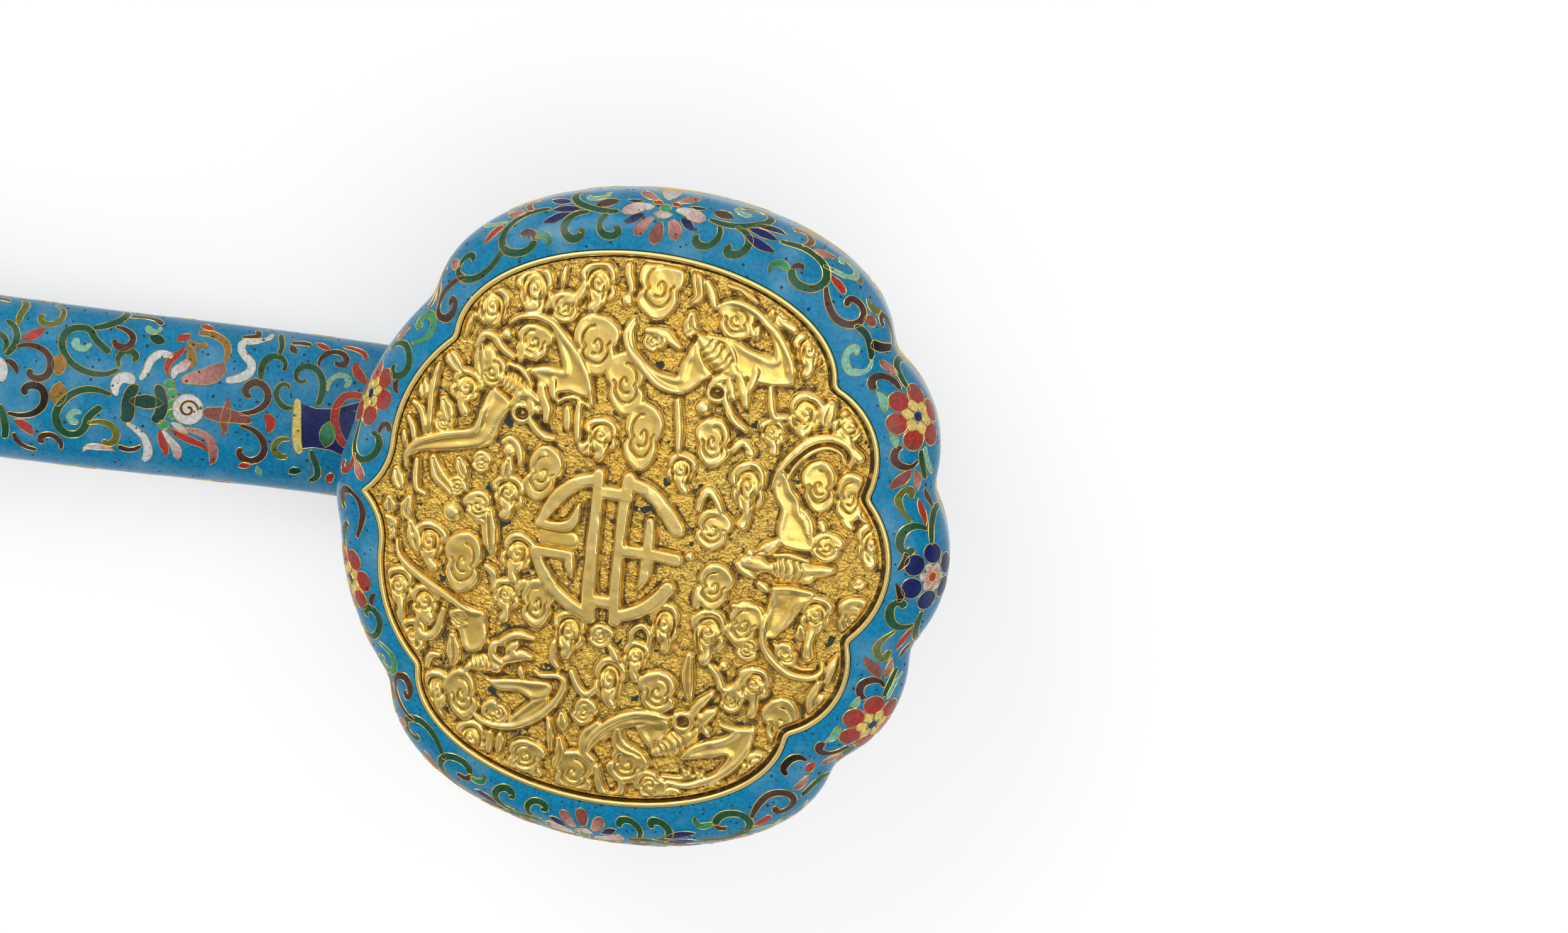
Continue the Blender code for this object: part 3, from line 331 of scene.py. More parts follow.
def lobe(start, end, rise, oval):
    """Points from start up to end, bulging to the right: an arc or half an oval."""
    start, end = np.array(start, float), np.array(end, float)
    half = np.linalg.norm(end - start) / 2
    along = (end - start) / (2 * half)
    out = np.array((along[1], -along[0]))
    share = np.arange(60) / 60
    if oval:
        angle = math.pi * share
        run, lift = -half * np.cos(angle), rise * np.sin(angle)
    else:
        radius = (half ** 2 + rise ** 2) / (2 * abs(rise))
        sweep = math.asin(min(1.0, half / radius))
        angle = sweep * (2 * share - 1)
        run = radius * np.sin(angle)
        lift = (radius * np.cos(angle) - radius * math.cos(sweep)) * math.copysign(1, rise)
    return (start + end) / 2 + np.outer(run, along) + np.outer(lift, out)


def lobed_outline(joints, lobes):
    """A closed outline through the joints of its upper half and their mirror images."""
    upper = [tuple(joint) for joint in joints]
    pointed = abs(upper[-1][1]) < 1e-9
    lower = [(u, -v) for u, v in reversed(upper[:-1] if pointed else upper)]
    ring = upper + lower
    order = list(range(1, len(upper)))
    spans = order + ([] if pointed else [len(lobes) - 1]) + order[::-1] + [0]
    runs = [lobe(start, end, *lobes[span]) for start, end, span in zip(ring, ring[1:] + ring[:1], spans)]
    return np.concatenate(runs)


def head_outlines():
    """The upper edge and the widest line of the head's rim, point by point alike."""
    edge = [TIP_NOTCH, FRONT_NOTCH, REAR_NOTCH, OGEE_JOIN, (-HEAD_CUSP, 0)]
    wide = [moved(TIP_NOTCH, *TIP_NOTCH_RIM), moved(FRONT_NOTCH, *FRONT_NOTCH_RIM),
            moved(REAR_NOTCH, *REAR_NOTCH_RIM), moved(OGEE_JOIN, *OGEE_RIM), (-HEAD_CUSP - CUSP_RIM, 0)]
    outlines = []
    for joints, tip, side, sag in ((edge, HEAD_TIP, HEAD_SIDE, OGEE_SAG),
                                   (wide, HEAD_TIP + TIP_RIM, HEAD_SIDE + SIDE_RIM, -OGEE_SAG / 2)):
        rise = side - (joints[1][1] + joints[2][1]) / 2
        outlines.append(lobed_outline(joints, [(tip - joints[0][0], False), (FRONT_LOBE_RISE, False),
                                               (rise, True), (REAR_LOBE_RISE, False), (-sag, False)]))
    return outlines


def on_line(places, ends, line):
    """Points of a line at places, counted as its ends are."""
    return np.stack([np.interp(places, ends, line[:, axis]) for axis in (0, 1)], -1)


def bell(radius, reach):
    """Weights that fall off to both sides of the middle and add up to 1."""
    weights = np.exp(-0.5 * (np.arange(-reach, reach + 1) / radius) ** 2)
    return weights / weights.sum()


def to_world(matrix, points):
    """World places, in millimetres, of points in a box's own frame."""
    return points @ np.array(matrix.to_3x3()).T + np.array(matrix.translation)


class Rim:
    """The curved face of a lobed rim. A place on it is a distance along the rim from its tip,
    anticlockwise, and a distance from the upper edge outwards and down."""

    handed = -1                          # along, out and off the face turn the left-handed way

    def __init__(self, outlines, depth, matrix):
        self.matrix = matrix
        self.depth = depth
        middle = (outlines[0] + outlines[1]) / 2
        steps = np.linalg.norm(np.roll(middle, -1, 0) - middle, axis=1)
        self.ends = np.concatenate([[0], np.cumsum(steps)])
        self.length = self.ends[-1]
        self.grid = np.linspace(0, self.length, 2401)
        self.near = self.soften(outlines[0], EDGE_SOFTNESS)
        self.far = self.soften(outlines[1], BELLY_SOFTNESS)
        self.zero = self.grid[np.argmin(abs(self.far[:, 1]) + 1000 * (self.far[:, 0] < 0))]
        width = np.linalg.norm(self.far - self.near, axis=1).mean()
        self.face = math.pi / 4 * (width + RIM_BULGE) * 1.04

    def soften(self, outline, radius):
        """The outline at even steps, with its corners rounded."""
        closed = np.concatenate([outline, outline[:1]])
        even = on_line(self.grid[:-1], self.ends, closed)
        radius = radius / self.grid[1]
        reach = int(4 * radius)
        wrapped = np.concatenate([even[-reach:], even, even[:reach]])
        soft = np.stack([np.convolve(wrapped[:, axis], bell(radius, reach), "valid") for axis in (0, 1)], 1)
        return np.concatenate([soft, soft[:1]])

    def edges(self, along):
        """The upper edge and the widest line at distances along the rim."""
        place = (np.asarray(along, float) + self.zero) % self.length
        return [on_line(place, self.grid, line) for line in (self.near, self.far)]

    def local(self, along, out, inwards=0.0):
        """Points of the rim in its own frame; inwards shrinks the rim's width and height."""
        near, far = self.edges(along)
        across = far - near
        wide = np.linalg.norm(across, axis=-1, keepdims=True)
        share = np.asarray(out, float) / self.face
        upper = np.clip(share, 0, 1) * math.pi / 2
        lower = np.clip(share - 1, 0, 1) * math.pi / 2
        reach = np.where(share <= 1, np.sin(upper), RIM_TUCK + (1 - RIM_TUCK) * np.cos(lower))
        fall = np.where(share <= 1, -RIM_BULGE * (1 - np.cos(upper)),
                        -RIM_BULGE - (self.depth - RIM_BULGE) * np.sin(lower))
        flat = near + across / wide * (wide * reach[..., None] - inwards * np.sin(upper)[..., None])
        return np.concatenate([flat, fall[..., None]], -1)

    def place(self, points, lift):
        """World places, in millimetres, of points on the rim raised off it by lift."""
        along, out = points[:, 0], points[:, 1]
        step = 0.05
        here = self.local(along, out, SKIN)
        side = self.local(along + step, out, SKIN) - self.local(along - step, out, SKIN)
        down = self.local(along, out + step, SKIN) - self.local(along, out - step, SKIN)
        up = np.cross(down, side)
        up /= np.linalg.norm(up, axis=1, keepdims=True)
        return to_world(self.matrix, here + up * lift)


def new_piece(name, points, faces):
    """A piece's object and mesh, from points in millimetres."""
    mesh = bpy.data.meshes.new(name)
    mesh.from_pydata((np.asarray(points) * MM).tolist(), [], faces)
    piece = bpy.data.objects.new(name, mesh)
    scene.collection.objects.link(piece)
    return piece


def settle(piece, material, slot, node=None):
    """Give a piece its finish and its place in the frame."""
    piece.data.materials.append(material)
    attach(piece, "root")
    if node:
        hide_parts(node)


def finish_mesh(name, points, faces, sharp, material, slot, node=None):
    """Make a whole piece: smooth, but with hard edges where faces meet at more than sharp degrees."""
    piece = new_piece(name, points, faces)
    piece.data.shade_smooth()
    piece.data.set_sharp_from_angle(angle=math.radians(sharp))
    settle(piece, material, slot, node)
    return piece


def ring_faces(rings, count, closed=True):
    """Quads between rings of points, each of which closes on itself."""
    faces = []
    for ring in range(rings if closed else rings - 1):
        here, after = ring * count, (ring + 1) % rings * count
        for index in range(count):
            turn = (index + 1) % count
            faces.append((here + index, after + index, after + turn, here + turn))
    return faces


enamel_skin, given, result = new_group(
    "enamel_skin",
    [("Colour", "Color", (1, 1, 1, 1)), ("Milk", "Float", 0.3)],
    [("Colour", "Color", None), ("Roughness", "Float", None), ("Normal", "Vector", None)])
tree = enamel_skin
place = add_node(tree, "ShaderNodeTexCoord").outputs["Object"]
clouds, grains = noise(tree, 130.0, 4.0), noise(tree, 1500.0, 3.0)
cells = add_node(tree, "ShaderNodeTexVoronoi", {"Vector": place, "Scale": 1000.0})
picked = add_node(tree, "ShaderNodeSeparateColor", {0: cells.outputs["Color"]})
size = number(tree, "MULTIPLY", ramp(tree, picked.outputs[0], 0.62, 1.0), 0.32)
pit = number(tree, "GREATER_THAN", size, cells.outputs["Distance"])
grainy = ramp(tree, grains, 0.25, 0.75, GRAIN_DARK, GRAIN_LIGHT)
shade = mix(tree, 1.0, given["Colour"], grainy, "MULTIPLY")
milk = number(tree, "MULTIPLY", ramp(tree, clouds, 0.48, 0.72), given["Milk"])
milky = mix(tree, milk, shade, MILK)
tree.links.new(mix(tree, number(tree, "MULTIPLY", pit, 0.85), milky, PIT_SOIL), result["Colour"])
rough = number(tree, "MULTIPLY_ADD", grains, 0.12, 0.12)
tree.links.new(number(tree, "MULTIPLY_ADD", pit, 0.5, rough), result["Roughness"])
wavy = number(tree, "MULTIPLY_ADD", clouds, 0.5, number(tree, "MULTIPLY", grains, 0.10))
height = number(tree, "SUBTRACT", wavy, number(tree, "MULTIPLY", pit, 0.4))
bumpy(tree, height, 0.35, 0.0008, result["Normal"])


def enamel_material(name, colour, milk):
    """Glossy, slightly pitted enamel. The colour is a value or the name of an attribute."""
    made, _, _ = new_material(name, {"Specular IOR Level": 0.23})
    fill_group(made, enamel_skin, {"Colour": colour, "Milk": milk})
    return made


turquoise_enamel = enamel_material("turquoise_enamel", TURQUOISE, 0.20)
cell_enamel = enamel_material("cell_enamel", "enamel", 0.06)


def make_rim_shell(name, rim, node):
    """The enamelled band of a box: its face, its back edge and its plain inner wall."""
    count = int(rim.length / 0.9)
    along = np.arange(count) * rim.length / count
    level = np.ones(count)
    rows = [rim.local(along, level * out, SKIN) for out in np.linspace(0, 2 * rim.face, 31)]
    inner = [rim.local(along, level * out, SHELL_WALL) for out in np.linspace(2, 1, 7) * rim.face]
    for degrees in (68, 46, 24, 0):
        row = rim.local(along, level * rim.face * degrees / 90, SHELL_WALL)
        row[:, 2] = -RIM_BULGE + (RIM_BULGE - SHELL_LIP) * math.cos(math.radians(degrees))
        inner.append(row)
    rings = rows + inner
    world = to_world(rim.matrix, np.concatenate(rings))
    finish_mesh(name, world, ring_faces(len(rings), count), 40, turquoise_enamel, "blue_enamel", node)


head_rim = Rim(head_outlines(), HEAD_DEPTH, frame_matrix(HEAD_CENTRE, HEAD_TILT))
make_rim_shell("head_enamel_shell", head_rim, "head_shell")

# Head enamel and wires
# Scrolling leaves and blossoms in coloured enamel on the turquoise rim. A gilt wire, soldered on
# edge before the firing, runs round each cell and is ground flush with the enamel.

CELL_LIFT = 0.03                         # how far cells and wires stand over the ground
WIRE_LIFT = 0.075
WIRE_WIDTH = 0.15
WIRE_ROUND = 0.06                        # how far a wire's edges lie under its crest
LEAST_HALF = 0.015                       # half the width at a pointed end
INLAY_DEPTH = 0.12
STACK_STEP = 0.005                       # so that two cells that cross don't share a height
FORMS = {"stem": ((0, 0.15, 0.6, 1), (0.55, 0.85, 1, 0.9)),
         "curl": ((0, 0.3, 0.8, 1), (0.5, 0.9, 1.1, 0.75)),
         "leaf": ((0, 0.2, 0.5, 0.8, 1), (0.03, 0.7, 1, 0.7, 0.03)),
         "bud": ((0, 0.12, 0.45, 0.8, 1), (0.45, 0.75, 1, 0.6, 0.03)),
         "petal": ((0, 0.3, 0.65, 0.9, 1), (0.35, 0.75, 1, 0.7, 0.03)),
         "vase": ((0, 0.2, 0.45, 0.7, 1), (0.66, 0.56, 0.60, 0.8, 1)),
         "disc": ((0, 1), (1, 1))}
ROUND_START = ("stem", "curl", "bud", "petal", "disc")
ROUND_END = ("stem", "curl", "disc")


def paint(red, green, blue):
    """A colour as it shows, from 0 to 255, turned into one for a shader."""
    return tuple(((value / 255 + 0.055) / 1.055) ** 2.4 for value in (red, green, blue))


COLOURS = {"white": paint(212, 212, 212), "dark": paint(14, 66, 54), "green": paint(30, 84, 56),
           "leafgreen": paint(66, 154, 100), "celadon": paint(128, 190, 168), "navy": paint(24, 36, 96),
           "red": paint(178, 52, 44), "pink": paint(196, 138, 128), "brown": paint(76, 50, 46),
           "black": paint(38, 28, 28), "yellow": paint(226, 204, 112), "ochre": paint(156, 114, 54),
           "moss": paint(104, 112, 48), "rose": paint(140, 76, 68)}
SECOND_COLOUR = {"leafgreen": "green", "green": "dark", "pink": "rose", "white": "pink",
                 "celadon": "leafgreen"}


def smooth(line):
    """A curve through given points, and the distances along it."""
    points = np.array(line, float)
    if len(points) > 2:
        knots = np.concatenate([2 * points[:1] - points[1:2], points, 2 * points[-1:] - points[-2:-1]])
        share = np.arange(10)[:, None] / 10
        runs = []
        for before, start, end, after in zip(knots, knots[1:], knots[2:], knots[3:]):
            bend = 2 * before - 5 * start + 4 * end - after
            twist = 3 * start - before - 3 * end + after
            runs.append(0.5 * (2 * start + (end - before) * share + bend * share ** 2 + twist * share ** 3))
        points = np.concatenate(runs + [points[-1:]])
    steps = np.linalg.norm(np.diff(points, axis=0), axis=1)
    return points, np.concatenate([[0], np.cumsum(steps)])


def rounded(share):
    """The width of a round end, at a share of the way in from its tip."""
    return np.sqrt(np.clip(1 - (1 - share).clip(0, 1) ** 2, 0, 1))


def across_from(points, closed=False):
    """Unit directions to the left of a line at its points."""
    if closed:
        way = np.roll(points, -1, 0) - np.roll(points, 1, 0)
    else:
        way = np.gradient(points, axis=0)
    way = way / np.maximum(np.linalg.norm(way, axis=1, keepdims=True), 1e-9)
    return np.stack([-way[:, 1], way[:, 0]], 1)


class Inlay:
    """Cells of coloured enamel and the wires round them, laid on one curved face."""

    def __init__(self, face):
        self.face = face
        self.laid = 0
        self.cells = ([], [], [])
        self.wires = ([], [], [])

    def band(self, store, left, right, lifts, closed, colours):
        """A strip between two edges; lifts are its heights from the left edge to the right."""
        count = len(left)
        wide = len(lifts)
        shares = np.linspace(0, 1, wide)
        tops = [self.face.place(left + (right - left) * share, lift) for share, lift in zip(shares, lifts)]
        feet = [self.face.place(right, -INLAY_DEPTH), self.face.place(left, -INLAY_DEPTH)]
        ring = np.stack(tops + feet, 1)
        size = wide + 2
        start = sum(len(run) for run in store[0])
        store[0].append(ring.reshape(-1, 3))
        store[2].append(np.repeat(colours, size, 0))
        order = self.face.handed
        for here in range(count if closed else count - 1):
            after = (here + 1) % count
            for side in range(size):
                turn = (side + 1) % size
                quad = (here * size + side, here * size + turn, after * size + turn, after * size + side)
                store[1].append(tuple(start + corner for corner in quad[::order]))
        if not closed:
            first = [start + side for side in range(size)]
            last = [start + (count - 1) * size + side for side in range(size)]
            store[1].append(tuple(first[::-order]))
            store[1].append(tuple(last[::order]))

    def wire(self, line, width=WIRE_WIDTH, closed=False):
        """A gilt wire along a line."""
        side = across_from(line, closed) * width / 2
        lift = WIRE_LIFT + self.laid % 6 * STACK_STEP
        shades = np.ones((len(line), 4))
        lifts = (lift - WIRE_ROUND, lift, lift - WIRE_ROUND)
        self.band(self.wires, line + side, line - side, lifts, closed, shades)

    def cell(self, line, width, form, colour, end=None):
        """One cell along a line, with a wire round it. Its colour may turn into another."""
        self.laid += 1
        points, run = smooth(line)
        length = run[-1]
        at_start, at_end = np.interp([0.1, 0.9], *FORMS[form]) * width / 2
        near = np.array([0, 0.06, 0.2, 0.42, 0.7])
        middle = np.linspace(0, 1, max(4, int(length / 0.5)))
        body_from = min(at_start, length * 0.3) if form in ROUND_START else 0.0
        body_to = length - (min(at_end, length * 0.3) if form in ROUND_END else 0.0)
        stops = [body_from + (body_to - body_from) * middle]
        if form in ROUND_START:
            stops.insert(0, body_from * near)
        if form in ROUND_END:
            stops.append(length - (length - body_to) * near[::-1])
        stops = np.concatenate(stops)
        spine = on_line(stops, run, points)
        half = np.interp(stops / length, *FORMS[form]) * width / 2
        if form == "disc":
            half = np.sqrt(np.maximum(0, 1 - (2 * stops / length - 1) ** 2)) * width / 2
        else:
            if form in ROUND_START:
                half = half * rounded(stops / max(body_from, 1e-6))
            if form in ROUND_END:
                half = half * rounded((length - stops) / max(length - body_to, 1e-6))
        half = np.maximum(half, LEAST_HALF)[:, None]
        side = across_from(spine)
        left, right = spine + side * half, spine - side * half
        first, last = np.array(COLOURS[colour]), np.array(COLOURS[end or colour])
        blend = (stops / length)[:, None] ** 1.5
        colours = np.concatenate([first + (last - first) * blend, np.ones((len(stops), 1))], 1)
        lift = CELL_LIFT + self.laid % 6 * STACK_STEP
        self.band(self.cells, left, right, (lift,) * 5, False, colours)
        self.wire(np.concatenate([right, left[-2:0:-1]]), closed=True)

    def dot(self, centre, radius, colour):
        """A round cell."""
        reach = np.array((radius, 0))
        self.cell([centre - reach, centre + reach], 2 * radius, "disc", colour)

    def blossom(self, centre, petals, reach, length, width, colour, end, turn=0.0):
        """Petals round a centre."""
        for index in range(petals):
            angle = turn + 2 * math.pi * index / petals
            way = np.array((math.cos(angle), math.sin(angle)))
            middle = np.array(centre) + way * reach
            half = way * length / 2
            self.cell([middle - half, middle, middle + half], width, "disc", colour, end)

    def finish(self, name, slot):
        """Make one piece of the cells and one of the wires."""
        for suffix, store, material, place in (("_cells", self.cells, cell_enamel, slot),
                                               ("_wires", self.wires, wire_gilt, "gilt_copper")):
            piece = finish_mesh(name + suffix, np.concatenate(store[0]), store[1], 50, material, place)
            shades = piece.data.color_attributes.new("enamel", "FLOAT_COLOR", "POINT")
            shades.data.foreach_set("color", np.concatenate(store[2]).ravel())


wire_gilt = gilt_material("wire_gilt", 0.18, 0.0, 0.0)
head_inlay = Inlay(head_rim)
UPPER_TIP = """
stem green 1.4 6,7.3 8.5,7.9 10.5,9 12,10.8 12.4,13
stem green 1.4 8.8,7.2 9.5,5.5 9.2,3.8 8,2.4 6.3,1.6 5,1.8 4.6,2.8 5.5,3.8
bud black 1.3 4.6,2.3 3.4,2.4 2,1.6 1.1,1
leaf red 1.5 9.5,7.1 11,7.3 13,7.5 14.6,7.6
curl moss 1.3 10.3,4.6 12,3.9 14,3.9 15.8,4.4 16.5,5.2 15.8,6.2 14.6,6.3
bud brown 1.4 12.4,10.6 14,10 15.5,9.2 16.4,8.8
stem green 1.2 17.8,8.6 19.5,7.7 21.5,7.1 23.2,6.9
stem celadon 1 18.6,10.3 20,8.9 22,8 23.5,7.8
leaf pink 1.5 16,7.3 17.5,7 19,6.4 20,5.9
leaf rose 2.4 20.3,5.2 19,4.4 18,3.2 16.8,2.2
curl brown 1.3 21.5,6.4 20.6,5.2 20.9,3.6 22,2.4 23.3,2.2 24.3,2.8 24.3,3.7
leaf celadon 1.3 24.4,2.6 26,2.6 27.6,2
stem green 1.4 33.2,8.7 35.2,9 37,9.7 38.2,11 38.4,13 37.8,14.5
bud pink 1.9 36.3,8.6 37.8,8.6 39.3,8 40.4,7.4
stem brown 1.4 34,7.3 36,7.3 37.6,6.3 37.9,4.9 37,3.9 35.8,3.5
leaf celadon 1.4 35.8,3.6 34,3.8 32.3,3.1 31,2.5"""
UPPER_ONLY = """
stem black 1.5 41,11.5 41.5,9.8 42.3,8 43.8,6.3
curl brown 1.1 41.2,11.6 43,12.4 45.5,12 46.6,10.8 45.9,9.9 44.9,10.2
bud moss 1.5 47.3,11 47.8,9.8 49,9.2 50.3,9.4
leaf moss 1.2 52.6,11.8 53,11 53.8,10.3
stem dark 1.3 48,4.8 46.5,5.6 45,6 43,6 41.2,6
curl celadon 1.2 41.2,6.1 40.1,5.4 39.8,4.2 40.5,2.9 41.6,1.8 43.2,1.4 44.6,2 44.9,3 44.2,3.7 43.4,3.4
bud rose 1.9 45.9,8.4 46.8,7.9 47.6,7.3 47.9,6.5"""
LOWER_ONLY = """
leaf red 1.6 40.4,6.1 41.4,5.8 43,4.8
leaf pink 1.5 43,6 44.6,5.9 46,5.5 47,5
curl black 1.2 41,4.5 41.4,3 42.6,1.9 44.2,1.4 45.5,1.6 45.6,2.7
curl celadon 1.2 47.2,9.4 48.4,11 50.6,11.8 52.8,11.2 53.6,9.8 52.6,9.2
stem green 1.3 41.4,11.8 42,10 43.2,8.6 45,7.8 47,7.4"""
SIDE_LOBE = """
stem brown 1.3 56.3,5.4 55,4.3 53,3.3 51,3 49.3,3.6 48.2,4.9 48.1,6.3 49,7.4 50.6,7.6 51.9,6.9 51.9,6
  51.2,5.8
bud red 1.5 53.2,6.6 54.5,7 56,7.2 57.3,7.4
curl celadon 1.1 59,8 57,8.6 55.2,9.3 54.1,10.6 54.3,12.2 55.6,13.2 57.2,12.8 57.5,11.7 56.7,11.3
stem green 1.4 67,7.8 65.5,8.2 63.5,8.8 61,8.8 58.8,8.1 57.3,6.7 56.9,5.1 57.7,3.6 59.6,2.9 61.4,3.3
  62.6,4.4
leaf brown 1.2 62.6,4.2 62.4,5.3 61.4,5.7 60.8,5.3
bud leafgreen 1.5 62.8,3.9 64,4.3 65.2,4.1 65.6,3 65,2
leaf pink 2 62.2,9.5 60.6,10.2 59.2,10.9 58.4,11.7
curl rose 1.3 63.6,9.1 62.9,10.6 63.2,12.2 64.4,13.4 65.8,13 65.9,11.9
leaf navy 1.5 72,9 70,9.5 68,9.8 66.6,9.6
leaf navy 1.7 72.8,7.9 71,7.9 69,7.8 67.3,7.7
leaf navy 1.7 72.5,6.4 70.8,6 69,5.6 66.5,5.5
stem green 1.3 79,7.3 77,7.1 74.8,7.3 72.8,8.3 71,9.7 70.2,11.6 70.6,13.5 72.4,14.3 74,13.8 75.2,12.6
curl celadon 1.1 75.2,12.6 75.6,11.4 74.4,10.6 73.1,10.9
curl green 1.4 74.5,7.2 72.8,6.9 71.4,5.8 71,4.3 71.6,2.9 73,2.4 73.9,3.1 73.4,3.8
curl green 1.3 77,6.6 76.3,5.3 76.3,3.8 77.2,2.6 78.7,2.4 79.7,3.2 79.5,4.1
leaf brown 2.2 75.5,9 77.2,9.1 78.9,9
petal white 2.9 86.5,10.2 86.5,12 86.5,13.4 86.5,14.8
petal pink 2 85,9.8 83.7,10.6 82.8,11.6 82.1,12.8
petal pink 2 88,9.8 89.3,10.6 90.2,11.6 90.9,12.8
petal white 2.3 84.7,8 83,7.9 81.5,7.4 79.5,6.7
petal white 2.3 88.3,8 90,7.9 91.5,7.4 93.5,6.7
leaf white 1.5 84.8,6.8 86.5,6.5 88.2,6.8
petal rose 2.5 86.5,5.2 86.5,3.8 86.5,2.4 86.5,1.2
petal pink 2.2 85,5.8 84.1,4.8 83.4,3.6 82.8,2.4
petal pink 2.2 88,5.8 88.9,4.8 89.6,3.6 90.2,2.4
leaf navy 1.6 83.5,6.4 82.4,5.8 81.4,5.1 80.4,4.7
leaf navy 1.6 89.5,6.4 90.6,5.8 91.6,5.1 92.6,4.7
leaf navy 0.9 82.8,9.2 81.6,9.1 80,9.4
leaf navy 0.9 90.2,9.2 91.4,9.1 93,9.4
leaf brown 2.2 98,8 96.8,8.6 95.5,8.9 94.2,9.3
stem green 1.3 93.8,6.7 95.5,6.8 97.5,7.3 99.5,8.2 101,9.5 101.7,11.3 101.3,13 99.9,14.2
curl celadon 1.1 96.3,12.2 96.4,10.9 97.6,10.1 99,10.3 99.4,11.2
curl green 1.3 95.7,6.4 96.6,5.2 96.7,3.8 95.9,2.6 94.5,2.2 93.4,2.7 93.5,3.6 94.3,3.5
curl green 1.4 98.8,6.9 100.7,6.8 102.3,5.9 103,4.4 102.5,2.9 101.2,2.1 100,2.6 99.8,3.5 100.4,3.3
leaf navy 1.8 102,9.6 103.2,10.2 104.5,10.9 105.6,11.8
leaf navy 1.6 100.3,7.6 102,8 104,8.4 105.4,8.5
leaf navy 1.8 102,7.2 103.5,6.8 105,6.4 106.8,6.2
stem green 1.4 105.5,8.9 107.5,9.2 110,9.1 112,8.3 113.6,6.9 114.3,5.2 113.9,3.4 112.3,2.2 110.3,1.9
  108.9,2.5 108.4,3.4
curl brown 1.3 108.4,3.2 108.5,4.5 109.6,5.1 110.8,5
bud leafgreen 1.4 108.3,3.8 107,3.9 105.9,3.3 105.7,2.3 106.4,1.6
curl rose 1.2 108.5,9.6 109.2,10.8 109.4,12.2 108.6,13.4 107.2,13.6
leaf pink 2.3 109.8,9.6 111,10.2 112,10.8 113,11.6
stem celadon 1 113,9.1 115,9.8 116.6,11 117.4,12.8
bud red 1.6 113.7,8.3 115,8.2 116.5,7.4 117.8,6.6"""
REAR = """
stem green 1.3 113.8,4.2 115.5,2.9 117.5,1.9 119.8,1.7 121.8,2.3 123.3,3.8 123.9,5.5 122.9,6.7 121.2,6.8
  120.1,5.9 120.4,5
bud pink 1.8 123.2,6.4 123.9,7.4 124.3,8.6 124.7,9.6
curl brown 1.3 122.7,3.4 124.5,4.6 126.5,5.4 128.2,6.1 130,6.5 131.3,6.2 131.9,5 131.3,3.4 129.8,2.1 128,1.5
  126.9,2 127.2,3 128.6,3.3
curl leafgreen 1.4 139,4.9 137.6,3.9 136,3.3 134.3,3.9 133.3,5.2 133.4,6.8 134.6,7.8 136,7.6 136.2,6.6
  135.5,6.2
bud pink 2.1 141,9.2 139.8,9.6 138.6,9.3 137.8,8.8
curl green 1.4 143,9.4 141.5,8.9 140.5,7.4 140.1,5.7 140.6,4 141.9,2.5 143.6,2 145.1,2.7 145.5,4 144.8,5
  143.8,4.9
leaf brown 1.3 145.3,2.6 146.6,2.6 147.8,1.9 148.3,0.9
stem green 1.2 126,9.6 128,10.4 130.2,10.3 132,9.4 133.4,8.9
leaf navy 1.5 128.4,8.6 129.8,8.4 131.2,7.8"""
UPPER_CUSP = """
curl green 1.3 155,7.9 157.8,7.8 159.5,7.6 161.2,6.5 162.1,4.8 161.6,3 160,2 158.2,2 157,2.9 157.2,4
curl brown 1.1 157,2.5 155.6,2.2 154.7,1.4 155.3,0.6 156.3,0.5
curl red 1.3 161.3,6.6 162.8,6.2 164.2,6.3 165.2,7.1 165,8.3 164,8.7 163.4,8.2
leaf pink 1.6 162.3,5.4 163.6,4.4 164.8,2.9 165.9,1.4"""
LOWER_CUSP = """
curl brown 1.4 158.5,4.4 161,3.3 163.5,2.3 166,2.2 167.2,3.6 167,5.6 165.8,7 164,7.3 163.1,6.5
stem green 1.3 155,8.2 157.2,8.6 159.2,8 160.6,6.6"""


def read_motifs(text):
    """Motifs from rows of a text: words and numbers, then the places of a line as pairs."""
    motifs = []
    fresh = True
    for word in text.split():
        if "," in word:
            motifs[-1][1].append(tuple(float(part) for part in word.split(",")))
        elif fresh:
            motifs.append(([word], []))
        else:
            motifs[-1][0].append(word)
        fresh = "," in word
    return motifs


def lay_cells(inlay, motifs, flip=1, shift=0.0):
    """Lay cells, each with its form, colour, width and line. Flip -1 mirrors them along the band."""
    for (form, colour, width), line in motifs:
        end = SECOND_COLOUR.get(colour) if form in ("petal", "leaf", "bud") else None
        inlay.cell([(shift + flip * along, out) for along, out in line], float(width), form, colour, end)


def running_scroll(inlay, pattern, start, end, out, swing=1.0, pitch=13.0):
    """A plain scroll with side shoots, for what faces away. A turn's rows give their places as
    shares of the pitch and of the swing, and colours that take turns."""
    turns = max(1, round((end - start) / pitch))
    pitch = (end - start) / turns
    for index in range(turns):
        side = swing if index % 2 else -swing
        for (form, colours, width), line in read_motifs(pattern):
            colours = colours.split("/")
            places = [(start + (index + along) * pitch, out + rise * side) for along, rise in line]
            inlay.cell(places, float(width), form, colours[index % len(colours)])


def red_flower(inlay, middle, *heart):
    """Six red petals round a yellow heart with a navy eye."""
    inlay.blossom(middle, 6, 4.1, 3.6, 3.9, "red", "rose", math.pi / 6)
    inlay.blossom(middle, 6, *heart)
    inlay.dot(middle, 0.9, "navy")


